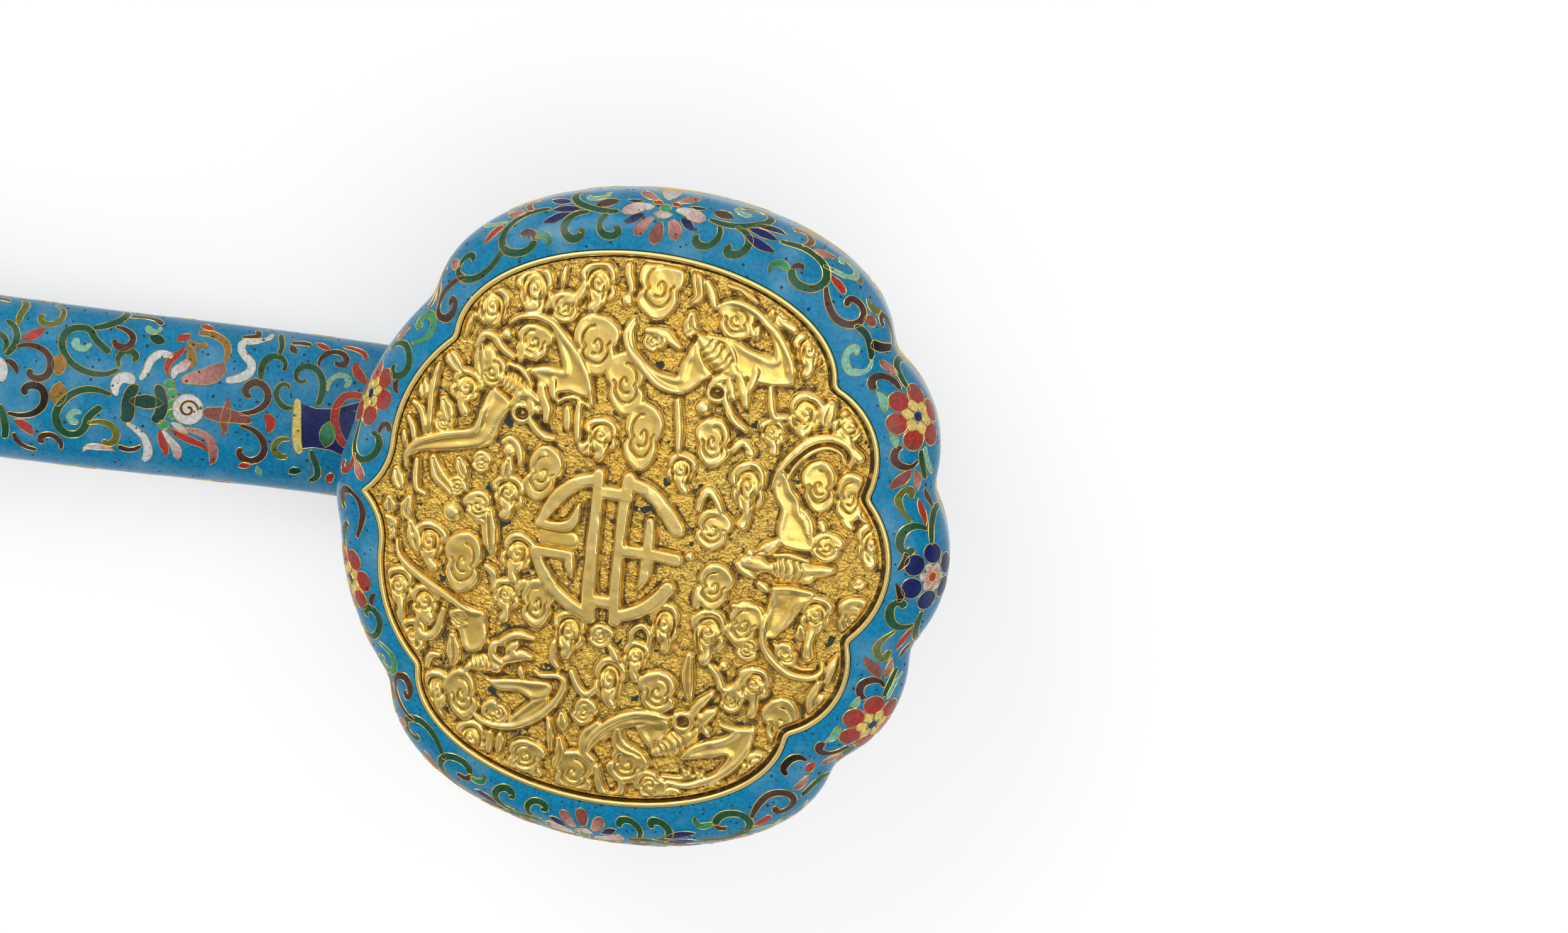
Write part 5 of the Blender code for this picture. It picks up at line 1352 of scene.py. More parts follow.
BATS = ["""
web -16.4,33.6 -14.7,30.5 -13.7,27.4 -15.6,27.2 -17.6,27 -19.5,26.2 -17,24.4 -14.7,23.4 -12.3,23.8 -10,23.4
  -9,23.6 -9.3,26 -10.7,28.8 -13,31.6
web -25.3,22.3 -26,21 -26.9,18 -28,14.3 -30.3,13.5 -35.3,11.7 -39,9 -38.8,7.7 -37,9 -30.3,10.7 -26,12.3
  -24.7,15 -24,17 -22.4,20
lead -24.2,33.8 -22.6,35.1 -20,35.8 -17.2,35.3 -14.8,33.3 -12.1,30.6 -10.2,28 -9,25.3 -8.2,22.3
lead -26,21.4 -26.9,18 -28,14.3 -33.3,12.5 -37.4,10.6 -39.4,8.2 -39.2,5.8
bead -16.2,33.4 -14.6,30.5 -13.6,27.4
bead -20,26.4 -16.6,27.2 -12.6,27
bead -14.2,21.6 -12.8,22.6 -10.8,22.8 -8.6,21.6
bead -22.5,19.2 -23.8,16.6 -24.5,13.8 -25.6,12.2 -30.3,10.7 -35.3,9.4
body 3.4 -24.8,24.4 -22.3,23.3 -20,22.3
border -23.4,26.7 -21,26.2 -19.4,24.4 -19,22.8
limb 1.5 -21.8,20 -21,21.6 -19,22.1 -17.4,21.2
limb 1.3 -18.7,18 -17.3,16.4 -15.7,15.4 -14,15.2
limb 2.3 -17.3,24 -16.7,22 -15.8,20 -15.7,18.2
limb 1.5 -15.3,25.3 -15.2,23.7 -14.7,22.3
limb 2.4 -18.8,20.8 -18.4,19.2
eye -17.5,19.7
ring -20.1,18.7""", """
web 24.8,34 25.5,31.3 24.4,30.6 20.4,30.3 17.4,31 15.3,31.4 13.3,35 13,37 15,36.7 16.6,36 18.6,35.3
  21.8,34.7 21.3,37.3 20,40.3 22.4,38.2
web -2.6,37.6 -2.8,35.3 -2,33 0,31 2,29.7 4,29.3 6,29.3 6.3,30.7 7,33.7 8.3,35.7 9.3,32.7 11.2,30.4 9.7,29.1
  7.4,27 4.3,26.8 0,29 -3,32.7 -4,35
lead 10.8,42 12.3,43.1 14.4,43.4 17.3,42.4 20,40.4 22,38.6 23.7,36.2 24.8,34 25.3,31.2
lead -2.9,38 -3.8,36.3 -3.9,34.7 -3,32.7 -1,30.6 2,28 4.3,27 6.8,26.8
bead 20.8,39.4 21.6,37 21.8,34.8
bead 15.6,36.6 17.6,35.4 21.6,34.8
bead 19.8,30.2 21.8,30.8 24.4,30.7
bead 6,29.5 6.5,31.6 7.4,34
bead 11,30.4 9.4,29 7.4,27.2
body 4.4 8.9,36.4 12.2,33.8 14.9,31.6
border 8.3,35.7 9.3,32.7 11.3,30.6
border 10,37 13.3,36.4 15,34 15.3,31.4
limb 1.5 11.6,28.7 12.7,30 14.8,30.6
limb 1.4 14,28.4 14.6,26.2 16.3,23.4 18.7,21.8
limb 2.5 16.2,31.2 17.2,28.8 18,26.2
limb 1.6 19,32.4 18.7,30.7 18.2,29
limb 2.2 14.6,29.8 15.4,28
eye 15.6,27.4
ring 12.8,27.7""", """
web 24.6,13 25.3,11 26.6,8.8 26.4,5.3 27.7,2.8 32.4,2.6 32.8,4.7 31.7,7.3 30,8.8 29.3,11 28,12.6 27,14.4
  25.4,16
web 27,-4.8 30,-4.4 34,-4.8 33.6,-6.4 31.5,-7.6 30.6,-10 28.6,-13.4 27.2,-14 25.8,-13.8 26.4,-10
lead 24.4,12.6 25.3,16 27.3,19.2 30,21.8 33.3,22.7 36,21.9 37.4,20 37,18.2
lead 37,-17.2 37.2,-18.8 35.4,-20.2 31.6,-20 28.2,-17.6 26.4,-14.6 26.4,-10
bead 36,18.5 35.2,20.2 32.7,20.9 30,19.6 27.8,17 27,14.4 28,12.4
bead 28.2,12.2 29.6,10 31.6,7.4 32.6,4.8
bead 28.4,-15 30.4,-17.4 33.4,-18.8 35.6,-18.6
bead 34,-5 31.8,-8 30.4,-11 27.6,-13.8
body 4.2 25.6,-1.5 29,-1.4 32.6,-1.3
border 26.4,0.8 29,1.2 32.4,0.6
limb 4 21.6,-1.2 23.4,-1.2 25.4,-1.4
limb 2.2 25.2,1.6 26.6,3.4
limb 1.4 20.4,-1.6 21.4,-2.6 23.4,-3.4
limb 2.6 32,-1.2 34.4,-0.9 36.4,-0.4
limb 1.8 24.6,-4.6 26,-5.4
limb 2.4 32.2,-2.6 33.4,-2
eye 22.4,-0.6""", """
web 27.4,-31 26,-35 24.4,-38 21,-41.2 23.2,-37 20.6,-37.2 18,-38 15,-38.6 16.4,-36.4 19,-34.8 22,-33.6
  23.6,-32 21,-31.4 24,-31.4
web -1.6,-40.6 -0.8,-37.4 3,-33.2 8,-31.5 12,-32 11.4,-33.8 8,-33.2 4,-34.4 0.6,-37.4
web 6.4,-33.8 9.8,-32.4 12.4,-33 10.2,-36.4 9.6,-37.6 8,-36
lead 26.9,-31 26.4,-34.6 24.7,-38 21.6,-41 17,-43.4 13.2,-43.6
lead -1.9,-41 -1,-37 3,-33.1 7.6,-31.3 12,-31.4
bead 21,-31.2 22.6,-31.9 25.6,-31.6
bead 15,-38.4 18,-37.7 21,-37 23,-35.4 24.4,-33
bead 1,-37.6 4,-34.6 8,-33.2
bead 12.2,-42.6 15.4,-42.4 19,-41.2
body 4.2 10.4,-38.2 13,-36.4 15.9,-34.4
border 12.4,-33.2 10.8,-36 10.6,-38.6
limb 1.7 15.6,-31.4 16.6,-28.6 19,-25.6
limb 1.5 13.2,-30.6 13.4,-32.4 14.8,-33.2 16,-31.8 15.4,-30
limb 2.4 17.4,-31.6 18.8,-29.6 19.8,-28.8
limb 1.5 18.2,-32 19.2,-33.4
limb 1.4 17.2,-32.8 16.6,-34.2
eye 17.6,-30.4
ring 14.5,-31.6""", """
web -26.8,-18 -22.6,-17.8 -22.2,-20 -21.6,-22.6 -22.6,-24.8 -25,-25.2 -26.4,-22
web -20.4,-30 -17,-29.2 -13,-28.8 -9.4,-28.8 -9.6,-31 -12.2,-32 -15,-31 -18.4,-31.4
web -12,-32.2 -9.6,-31.2 -9.8,-33 -13,-36.2 -16,-37.4 -14.6,-35
lead -39.4,-7.8 -38.8,-10 -36.6,-12.2 -32,-14.8 -27,-17.2 -24.6,-18.2
lead -12.4,-26.8 -11,-27.4 -8,-27 -6.9,-28.6 -8.6,-32.6 -12,-36 -16,-38 -20,-38 -23,-36.4
bead -31,-15.4 -27,-17 -22.4,-18.2
bead -22.4,-18.6 -22,-20.8 -21.4,-23.2
bead -26.8,-18.6 -26.2,-22 -25,-24.8
bead -20.6,-30 -17.2,-31 -14.4,-30.8 -11.4,-31.8
bead -15.4,-36.4 -12,-33.4 -10.2,-30
body 2.8 -24.4,-28.4 -22,-27.2 -19.2,-27.4
limb 1.5 -18.2,-26.4 -20.2,-25.2 -20,-23.2 -18.4,-22.8
limb 1.5 -19,-22.6 -16.4,-20.8 -13.2,-20.8
limb 2.4 -17.6,-25.6 -15,-24.4 -13.4,-24.4
limb 1.4 -14.9,-26.8 -14.4,-28.2
limb 1.8 -17.4,-23.8 -16,-22.4
eye -16.4,-24.2"""]


STROKES = {"stroke": ((0.5, 0.8, 0.8, 0.4), 1.15), "limb": ((0.6, 0.85, 0.85, 0.4), 1.3),
           "border": ((0.2, 0.7, 0.3), 1.25), "bead": ((0.1, 0.3, 0.1), RELIEF_TOP),
           "lead": ((0.2, 1.0, 1.3, 1.1, 0.4), RELIEF_TOP), "body": ((0.3, 1, 1, 0.7), 1.3)}


def roundel(sheet, centre, size):
    """The longevity sign in a broken ring, of flat bars with sloping flanks."""
    scale = size / ROUNDEL_RADIUS
    for widths, line in read_motifs(ROUNDEL):
        line = centre + (np.array(line) - ROUNDEL_CENTRE) * scale
        sheet.stroke(line, [1.18 * float(width) * scale for width in widths], RELIEF_TOP, 0.3 * scale)
    sheet.pillow(list(centre + (np.array(ROUNDEL_BAR) - ROUNDEL_CENTRE) * scale), 0.42, 0.7)


def lay_relief(sheet, text):
    """Raise the clouds, flames, bosses and bats of a text, each kind with its own cross-section."""
    for index, ((kind, *sizes), line) in enumerate(read_motifs(text)):
        width, *others = [float(size) for size in sizes] or [1.0]
        if kind == "cloud":
            tail = line[-1] if line[1:] else None
            sheet.cloud(line[0], width, others[0], others[1], tail, -1 if index % 2 else 1)
        elif kind == "web":
            sheet.pillow(line, 1.1, 0.3, 0.2)
        elif kind == "tongue":
            sheet.tongue(line, width)
        elif kind == "knob":
            sheet.knob(line[0], width, 1.15)
        elif kind == "eye":
            sheet.knob(line[0], 0.75, RELIEF_TOP)
        elif kind == "ring":
            centre = np.array(line[0])
            sheet.stroke(centre + spiral(1.3, 0, 0, 1, 14), 1.0, 1.25)
            sheet.groove([centre - (0.2, 0), centre + (0.2, 0)], 2.2, 1.3)
        else:
            shares, height = STROKES[kind]
            sheet.stroke(line, [share * width for share in shares], height)
        if kind == "body":
            points, _ = smooth(line)
            way = (points[-1] - points[0]) / np.linalg.norm(points[-1] - points[0])
            side = np.array((-way[1], way[0])) * width * 0.42
            for share in (0.22, 0.38, 0.54, 0.7, 0.86):
                place = points[int(share * (len(points) - 1))]
                sheet.groove([place - side - 0.5 * way, place, place + side - 0.5 * way], 0.45, 0.4)


for text in (UPPER_LEFT, UPPER_RIGHT, LOWER_LEFT, LOWER_RIGHT, *BATS):
    lay_relief(head_sheet, text)
roundel(head_sheet, (-2, -2.5), ROUNDEL_RADIUS)
head_sheet.finish("head_gilt_plaque", "head_plaque", True)

# Head back plate and neck collar
# An enamelled plate closes the back of the head. Round the joint below it sits a gilt collar,
# a plain half-round moulding that covers the end of the shaft.

BACK_PLATE = 1.4
JOINT_HALF = (12.0, 8.0)
OVAL_POWER = 2.3
UNDERSIDE_FLAT = 0.8
COLLAR_HEIGHT = 3.0
COLLAR_WALL = 2.2
COLLAR_FOOT = 0.9                        # how far the collar's foot reaches out
COLLAR_STEPS = 96                        # points round the collar
EDGE_BEVEL = 0.3


def work_on(piece):
    """Select one piece alone, with all of its mesh, for edit mode."""
    bpy.ops.object.select_all(action="DESELECT")
    piece.select_set(True)
    bpy.context.view_layer.objects.active = piece
    bpy.ops.object.mode_set(mode="EDIT")
    bpy.ops.mesh.select_all(action="SELECT")


def make_back_plate(name, rim, node, spacing):
    """The plate inside a shell's back edge: an outline filled, thickened and bevelled."""
    picks = even_picks(rim, spacing)
    across = rim.far[picks] - rim.near[picks]
    way = across / np.linalg.norm(across, axis=1, keepdims=True)
    outline = rim.near[picks] + across * RIM_TUCK - way * (SHELL_WALL + GAP)
    flat = np.concatenate([outline, np.full((len(outline), 1), -rim.depth)], 1)
    piece = new_piece(name, flat, [tuple(range(len(outline)))])
    work_on(piece)
    bpy.ops.mesh.extrude_region_move(TRANSFORM_OT_translate={"value": (0, 0, BACK_PLATE * MM)})
    bpy.ops.mesh.select_all(action="SELECT")
    bpy.ops.mesh.normals_make_consistent(inside=False)
    bpy.ops.mesh.select_all(action="DESELECT")
    bpy.ops.mesh.select_mode(type="EDGE")
    bpy.ops.mesh.edges_select_sharp(sharpness=math.radians(60))
    bpy.ops.mesh.bevel(offset=EDGE_BEVEL * MM, segments=3)
    bpy.ops.object.mode_set(mode="OBJECT")
    matrix = rim.matrix.copy()
    matrix.translation *= MM
    piece.data.transform(matrix)
    bpy.ops.object.shade_smooth_by_angle(angle=math.radians(35))
    settle(piece, turquoise_enamel, "blue_enamel", node)


def section(angles, wide, high, grown):
    """The shaft's rounded section, flat below: across and up at angles from its side."""
    cosine, sine = np.cos(angles), np.sin(angles)
    across = np.sign(cosine) * abs(cosine) ** (2 / OVAL_POWER) * (wide + grown)
    up = np.sign(sine) * abs(sine) ** (2 / OVAL_POWER) * (high + grown)
    return across, np.maximum(up, -(high - UNDERSIDE_FLAT + grown))


make_back_plate("head_enamel_back", head_rim, "head_back_plate", 0.9)
collar_profile = [(GAP, 0.0), (COLLAR_FOOT, 0.0)]
for degrees in range(-75, 91, 15):
    angle = math.radians(degrees)
    collar_profile.append((GAP + COLLAR_WALL * (0.45 + 0.55 * math.cos(angle)),
                           COLLAR_HEIGHT / 2 * (1 + math.sin(angle))))
collar_profile += [(GAP, COLLAR_HEIGHT)]
rings = []
for grown, height in collar_profile[::-1]:
    across, up = section(2 * math.pi * np.arange(COLLAR_STEPS) / COLLAR_STEPS, *JOINT_HALF, grown)
    height += -HEAD_DEPTH - GAP - COLLAR_HEIGHT
    rings.append(on_level(head_rim.matrix, np.stack([-up, across], 1), height))
finish_mesh("neck_gilt_collar", np.concatenate(rings), ring_faces(len(rings), COLLAR_STEPS), 45, bezel_gilt,
            "gilt_copper", "neck_collar")

# Shaft
# A hollow arched bar of enamelled copper in a front and a back half, from the tail box by way of
# the middle box to the neck, where it turns up in a hook under the head.

SHAFT_HALF = (15.3, 9.0)
NECK_HALF_WIDTH = 14.7
SHAFT_WALL = 1.5
SEAM = 0.04
STRAIGHT_BY_BOX = 8.0
SHAFT_ENTRY = 5.0
HEAD_RUN, HEAD_DROP = 109.0, 10.0
TAIL_RUN, TAIL_DROP = 92.0, 7.2
NECK_LENGTH = 17.0
HOOK_RADIUS = 20.0
HOOK_STRAIGHT = 6.1
MIDDLE_CENTRE = (-15.42, 0.0, 31.2)
TAIL_CENTRE = (-176.42, 0.0, 24.0)
BOX_ABOVE_SHAFT = 13.0
MIDDLE_HALF = (28.0, 18.0)
TAIL_HALF = (25.0, 20.0)
MIDDLE_NOTCH = (14.5, 12.5)
TAIL_NOTCH = (12.0, 14.5)
BOX_RIM = 5.0
BOX_NOTCH_ANGLE = 53
BOX_DEPTH = 24.0
BOX_DOME = 1.6


def arcs(run, drop):
    """Two equal arcs that lower the shaft over a run, as lengths and turns."""
    angle = 2 * math.atan(drop / run)
    radius = run / (2 * math.sin(angle))
    return [(radius * angle, -angle), (radius * angle, angle)]


class Shaft:
    """The outer face of a stretch of shaft. A place on it is a distance along its axis and a
    distance round its section from the crest, towards +Y."""

    def __init__(self, start, moves, mirror, neck=None):
        self.mirror = self.handed = mirror
        x, z = start
        heading = run = 0.0
        track = [(x, z, heading, run)]
        for length, turn in moves:
            steps = max(4, int(length))
            for _ in range(steps):
                middle = heading + turn / steps / 2
                half = abs(turn) / steps / 2
                chord = length / steps * (math.sin(half) / half if half > 1e-9 else 1)
                x += chord * math.cos(middle)
                z += chord * math.sin(middle)
                heading += turn / steps
                run += length / steps
                track.append((x, z, heading, run))
        self.track = np.array(track)
        self.length = run
        self.neck = neck
        self.angles = np.linspace(0, 2 * math.pi, 1441)
        ring = np.stack(section(self.angles, *SHAFT_HALF, 0.0), 1)
        steps = np.linalg.norm(np.diff(ring, axis=0), axis=1)
        self.ends = np.concatenate([[0], np.cumsum(steps)])
        self.round = self.ends[-1]
        self.crest = self.ends[360]

    def place(self, points, lift):
        """World places of points on the shaft raised off its face, which lies SKIN inside."""
        along, side = points[:, 0], points[:, 1]
        from_side = (self.crest - side) % self.round
        angles = np.interp(from_side, self.ends, self.angles)
        return self.spot(along, angles, np.asarray(lift, float) - SKIN)

    def spot(self, along, angles, grown):
        """World places at distances along the axis and angles round the section."""
        x, z, heading = (np.interp(along, self.track[:, 3], self.track[:, axis]) for axis in range(3))
        wide = np.full(len(along), SHAFT_HALF[0])
        high = np.full(len(along), SHAFT_HALF[1])
        if self.neck:
            wide = wide + (NECK_HALF_WIDTH - SHAFT_HALF[0]) * np.clip(along / self.neck, 0, 1)
            share = eased(np.clip((along - self.neck) / (self.length - self.neck), 0, 1))
            wide = wide + (JOINT_HALF[0] - wide) * share
            high = high + (JOINT_HALF[1] - high) * share
        across, up = section(angles, wide, high, grown)
        return np.stack([self.mirror * (x - up * np.sin(heading)), across, z + up * np.cos(heading)], 1)


def make_shaft_half(name, shaft, upper, node):
    """One half shell of a stretch of shaft, with its walls and its closed ends."""
    around = 30
    seam = SEAM / 2 / SHAFT_HALF[1]
    angles = seam + (math.pi - 2 * seam) * np.arange(around + 1) / around
    if not upper:
        angles = -angles
    rings = []
    for stop in np.linspace(0, shaft.length, int(shaft.length / 1.6)):
        along = np.full(around + 1, stop)
        outer = shaft.spot(along, angles, -SKIN)
        inner = shaft.spot(along, angles, -SHAFT_WALL)
        rings.append(np.concatenate([outer, inner[::-1]]))
    size = 2 * around + 2
    faces = ring_faces(len(rings), size, closed=False)
    last = (len(rings) - 1) * size
    for index in range(around):
        cap = (index, index + 1, size - 2 - index, size - 1 - index)
        faces.append(cap)
        faces.append(tuple(last + corner for corner in cap[::-1]))
    if upper == (shaft.mirror > 0):
        faces = [face[::-1] for face in faces]
    finish_mesh(name, np.concatenate(rings), faces, 45, turquoise_enamel, "blue_enamel", node)


entry = MIDDLE_HALF[0] + BOX_RIM - SHAFT_ENTRY
hook_turn = math.pi / 2 + math.radians(HEAD_TILT)
axis_height = MIDDLE_CENTRE[2] - BOX_ABOVE_SHAFT
to_neck = [(STRAIGHT_BY_BOX, 0)] + arcs(HEAD_RUN, HEAD_DROP) + [(NECK_LENGTH, 0)]
hook = [(HOOK_RADIUS * hook_turn, hook_turn), (HOOK_STRAIGHT, 0)]
neck_from = sum(move[0] for move in to_neck)
head_stretch = Shaft((MIDDLE_CENTRE[0] + entry, axis_height), to_neck + hook, 1, neck_from)
tail_stretch = Shaft((-MIDDLE_CENTRE[0] + entry, axis_height),
                     [(STRAIGHT_BY_BOX, 0)] + arcs(TAIL_RUN, TAIL_DROP) + [(STRAIGHT_BY_BOX, 0)], -1)
for name, stretch in (("shaft_head", head_stretch), ("shaft_tail", tail_stretch)):
    for half in ("_front", "_back"):
        make_shaft_half(name + "_enamel" + half, stretch, half == "_front", name + half)
SHAFT_SCROLLS = """
stem green 1.3 32,13 33.6,12 34.5,10.2 34.2,8.2 32.9,6.4
stem moss 1.4 34.3,12.5 34.4,14.5 34.9,16.8 34.3,19
curl moss 1.1 40,18.6 41.6,17.2 41.8,15 40.6,13.5 38.9,13.3 37.9,14.3 38.6,15.2
leaf red 1.9 35.3,9.8 37,10.6 38.3,11.6 39.2,12.4
curl brown 1.3 34.6,8.2 36.5,8.8 38.8,8.5 40.5,7.3 41.1,5.4 40.5,3.6 39,2.8 37.6,3.3 37.5,4.5
leaf brown 1.3 32.5,5.2 33.8,5.3 34.9,4.4 35.4,3
curl black 1.4 34.2,-4.5 36.5,-4.7 38.8,-3.9 40.3,-2.2 40.5,-0.1 39.6,1.2 38,1.4 36.8,0.5 37.3,-0.6
leaf ochre 2.8 42.6,8 42.5,5.9 42.6,3.8
leaf ochre 3.2 43,2.8 42.9,0.4 43,-2
leaf red 2 35.4,-5.6 36.8,-6.3 38,-7.2 38.9,-8.5
stem green 1.4 32.8,-3 33.6,-5.5 34,-8 33.8,-10
stem brown 1.1 35.4,-8.4 36,-10 37.6,-11.4 39.6,-11.9
curl brown 1.2 43.9,-11 43.9,-9.4 42.4,-8 40.7,-8.3 40.2,-9.4 41,-9.9
stem green 1.4 53,6.4 50.8,5.2 48,5.1 45.4,6 43.4,7.8 42.5,10.2 43.2,12.4 45,13.4 47,13.2 48.2,11.6
  49.8,10.2 51.2,9.3
curl celadon 1.3 47.6,10.6 46.8,9.6 45.6,9.5 44.8,10.3 45.2,11.3
stem green 1.5 47.5,13.6 50,14.6 52,16.2 53,18.2 52.8,20
curl brown 1.3 51.5,14.6 53.2,14.2 54.7,13 54.6,11.3 53.3,10.5 51.9,11 51.7,12
curl green 1.2 53,6.8 52.7,8.4 53.5,9.8 55,10 55.8,9.1 55.3,8.1
stem brown 1.3 53.5,17.8 56,18.3 58.5,17.8 59.6,16.3
curl celadon 1.2 59.6,15.6 58.6,14.4 57.6,14.6 57,15.6
leaf dark 2.2 57.6,13.4 59,13 60.6,12.4
curl white 1.4 56.9,4.9 57.8,6.6 58.4,8.6 59.6,10 61.2,10.2 62.2,9.8
curl white 1.9 53,1.4 52.7,3.2 53.4,4.7 54.8,5 56,4.2
stem dark 2.4 56.6,3.9 55.6,2.4 55.2,0.4 55.4,-1.8 54.8,-3.6
leaf dark 2.8 55.2,0.7 58.2,0.9 61.6,0.9
stem dark 2.2 60,4.4 60.8,2.6 61.2,0.8 61,-1.2 60,-3
stem green 1.5 52.2,1.4 50,2 47.6,1.9 45.4,0.8 43.8,-0.9 42.8,-3.2 43.2,-5.6 44.8,-7.2 46.8,-7 48,-5.4
  48.4,-3.6 49.4,-2.2 50.7,-1
curl celadon 1.2 47.2,-2.6 46,-2.6 45.2,-3.7 45.8,-4.6 46.8,-4.4
curl moss 1.3 48.4,-4.6 50.4,-4 52.4,-4.4 53.6,-5.8 53.4,-7.6 52.2,-8.4 51.4,-7.6
curl white 1.4 55.3,-3.7 56.8,-4.6 58.4,-6 59.3,-8 59.4,-10 58.8,-11.6
curl brown 1.1 58.2,-8 57,-9 55.4,-9.2 54,-8.6
leaf white 1.4 47.8,-11 48.6,-9.7 50.4,-9.4 52.4,-9.4 53.6,-9.8"""
SHAFT_LOTUS = """
petal rose 3 78.2,-0.6 75.5,-0.2 73,0 71,0 68.6,0.2
leaf rose 1.8 73.1,3.6 73.3,2 73.2,0.4 73,-1.4 73.2,-3 72.6,-4.2
leaf red 1.5 62.6,-3.6 64.5,-4.8 67,-5.8 69.3,-6.6 70.6,-8
petal pink 1.8 66,-3.6 68.6,-4 70.5,-5.2 71.4,-7.2 71.5,-9.4 71,-10.8
leaf red 1.6 61.2,-4.2 61.6,-6 62.4,-8 62.8,-10
petal white 1.9 61.8,-4.4 63.2,-6.2 64.6,-8 64.8,-10.4
leaf white 1.4 63,-2.6 64.8,-3.4 66.6,-4.4
leaf red 1.4 61.9,6 61.4,7.6 62,9.4 63.4,10.8 64.4,12.4
petal white 1.9 62.6,5.8 63,7.4 64.4,8.4 65.4,9.8
leaf ochre 1.8 64.8,12.6 65.4,11 66,9.4 65.8,8
leaf red 1.6 62.4,13.2 63.6,13.8 65,14.8
curl ochre 1.1 64.6,13.4 66,12.6 67.4,12.6 68,13.4
petal pink 3.4 64.2,5.6 66.6,6.4 69,7 70.8,8.2 71.8,9.8
curl ochre 1.5 71.9,10 72.2,12 71.6,13.8 70,15 68.2,15.6 66.4,15.2
leaf red 2 66.4,17.8 67.6,17.4 69.2,16.4
curl white 1.5 79.9,17.6 79.2,16 77,15 75,14.6 74.6,13 75.6,11.6 76.8,10.4 76.8,8.8 75.4,7.6 73.8,6.9
  72.4,6.6"""
SHAFT_NECK = """
curl brown 1.1 74.4,15.6 76,16 77.4,16.6 77,18.4
curl brown 1.4 75.5,0.6 78,1.2 80,2.6 80.7,4.4 80,6.1 78.2,6.9 76.6,6 76.4,4.6 77.6,4
curl brown 1.4 76,-1.6 78.4,-2.2 80.2,-3.6 81,-5.6 80.4,-7.6 78.8,-8.7 77.2,-8.4 76.2,-7.2 76.8,-6.2
leaf red 2 80,0.8 81.3,0.5 81.7,-0.8 81.3,-2.6
leaf red 1.5 76.2,-10.4 77.4,-10 78.8,-9.4
leaf celadon 1.2 79.8,-9.6 80.2,-11 80.6,-12.4
curl green 1.3 82.9,9.6 83.2,11 82.2,12.2 80.6,12.3 79.2,11 78.8,9 79,7.4
stem green 1.1 81.6,12.6 82,14.4 81.6,16.6 81.4,18
curl green 1.1 84.6,6.4 84,7.2 82.8,7 82.1,5.6 82.6,4 84,2.9 85.6,2.9
curl green 1.3 87.4,8.6 86.4,8 85.4,8.8 85.6,10.2 87,11.2 88.8,10.9 90.1,9.6 90.7,7.6 90.6,5.6 90,4
stem brown 1.1 83.6,15.6 85.4,16 87.4,15.9
leaf brown 1.6 83.6,15.4 84.2,14.2 85,13.4
leaf red 1.5 88,16.6 89.4,16 91,15.2
curl brown 1.2 89.2,11.6 89.6,13.2 90.8,14.6 92.6,15 94,14.2 94.2,12.8 93,12.3 92.3,12.9
stem red 1.1 93.2,16.6 95.2,16.4 97.2,15.6 97.8,14.2
leaf red 2 96.2,13.4 96.4,11.8 97.6,10.4 98.8,9.4
curl celadon 1.1 91.6,7 91.8,8.8 93,10.2 94.6,10.2 95.4,9 94.6,8.2
vase navy 13.6 87.2,-0.5 93,-0.3 101,0
stem yellow 1.7 86.2,4.8 86.4,3 86.6,0 86.9,-3 87.6,-5.8
stem red 1.6 99.4,6.6 97,7 95,6.4 93.8,4.6 93.6,2.2 94.2,-0.2 95.2,-2 96.4,-3.2
leaf leafgreen 3.2 92.6,1.4 92.6,-0.4 92.5,-2.4 92.4,-4
curl moss 1.3 85.6,-3.2 84,-3.4 82.9,-4.6 83.1,-6.2 84.4,-7 85.4,-6.6
stem green 1.3 89.7,-4.8 90.4,-6.6 91.2,-8.6 91.2,-10.6 89.8,-12
leaf dark 1.8 85.8,-10.6 87,-9.8 88.4,-9.8
stem red 1.5 94.4,-9.4 93.6,-10.4 93.8,-11.6"""
SHAFT_END = """
curl green 1.3 12.5,3 10,7 6.5,8.5 4,6.5 5,4 7,4.5
leaf red 1.7 12,10.5 9.5,12 6.5,12.2
curl celadon 1.2 12.5,14 9.5,16.5 6,16 4.5,13.5 3.5,11
leaf navy 1.6 3,9 2.2,7 2.4,4.6
bud pink 1.8 10.5,0.9 8,1.4 5,1.2"""
BACK_RUN = """
stem green 1.3 0,0 0.25,2.4 0.5,3.2 0.75,2.4 1,0
curl leafgreen/celadon 1.2 0.3,2.2 0.36,-0.6 0.56,-1.8 0.76,-0.8 0.68,0.9
leaf red/navy/pink/brown 1.5 0.5,4 0.66,5 0.86,5.2"""
BACK_RUNS = (27, -27, 38)                # how far round from the crest the scrolls at the back run
SIDE_RUN = (-19.4, 1.2, RUN_PITCH)       # the scroll along one side: its place, swing and pitch
LOZENGES = 42.8                          # the pattern is mirrored about these
LOTUS_FROM = 52.6
LOTUS_HEART = (66, 0.3)
BERRIES = ((62.2, 4.6), (62.9, 3), (63.2, 1), (63.2, -0.9), (61.8, -3.2))
HOOK_FROM = 104                          # from here the shaft is out of sight under the head
END_CLEAR = 1.5


def lay_heart(inlay, flip, shift):
    """The lotus's round heart with a wire curled on it, and the berries beside it."""
    middle = np.array((shift + flip * LOTUS_HEART[0], LOTUS_HEART[1]))
    inlay.dot(middle, 2.9, "white")
    inlay.cell(middle + spiral(1.9, 0.8, 0, 1.3, 22), 0.5, "stem", "brown")
    for along, out in BERRIES:
        inlay.dot((shift + flip * along, out), 0.95, "leafgreen")


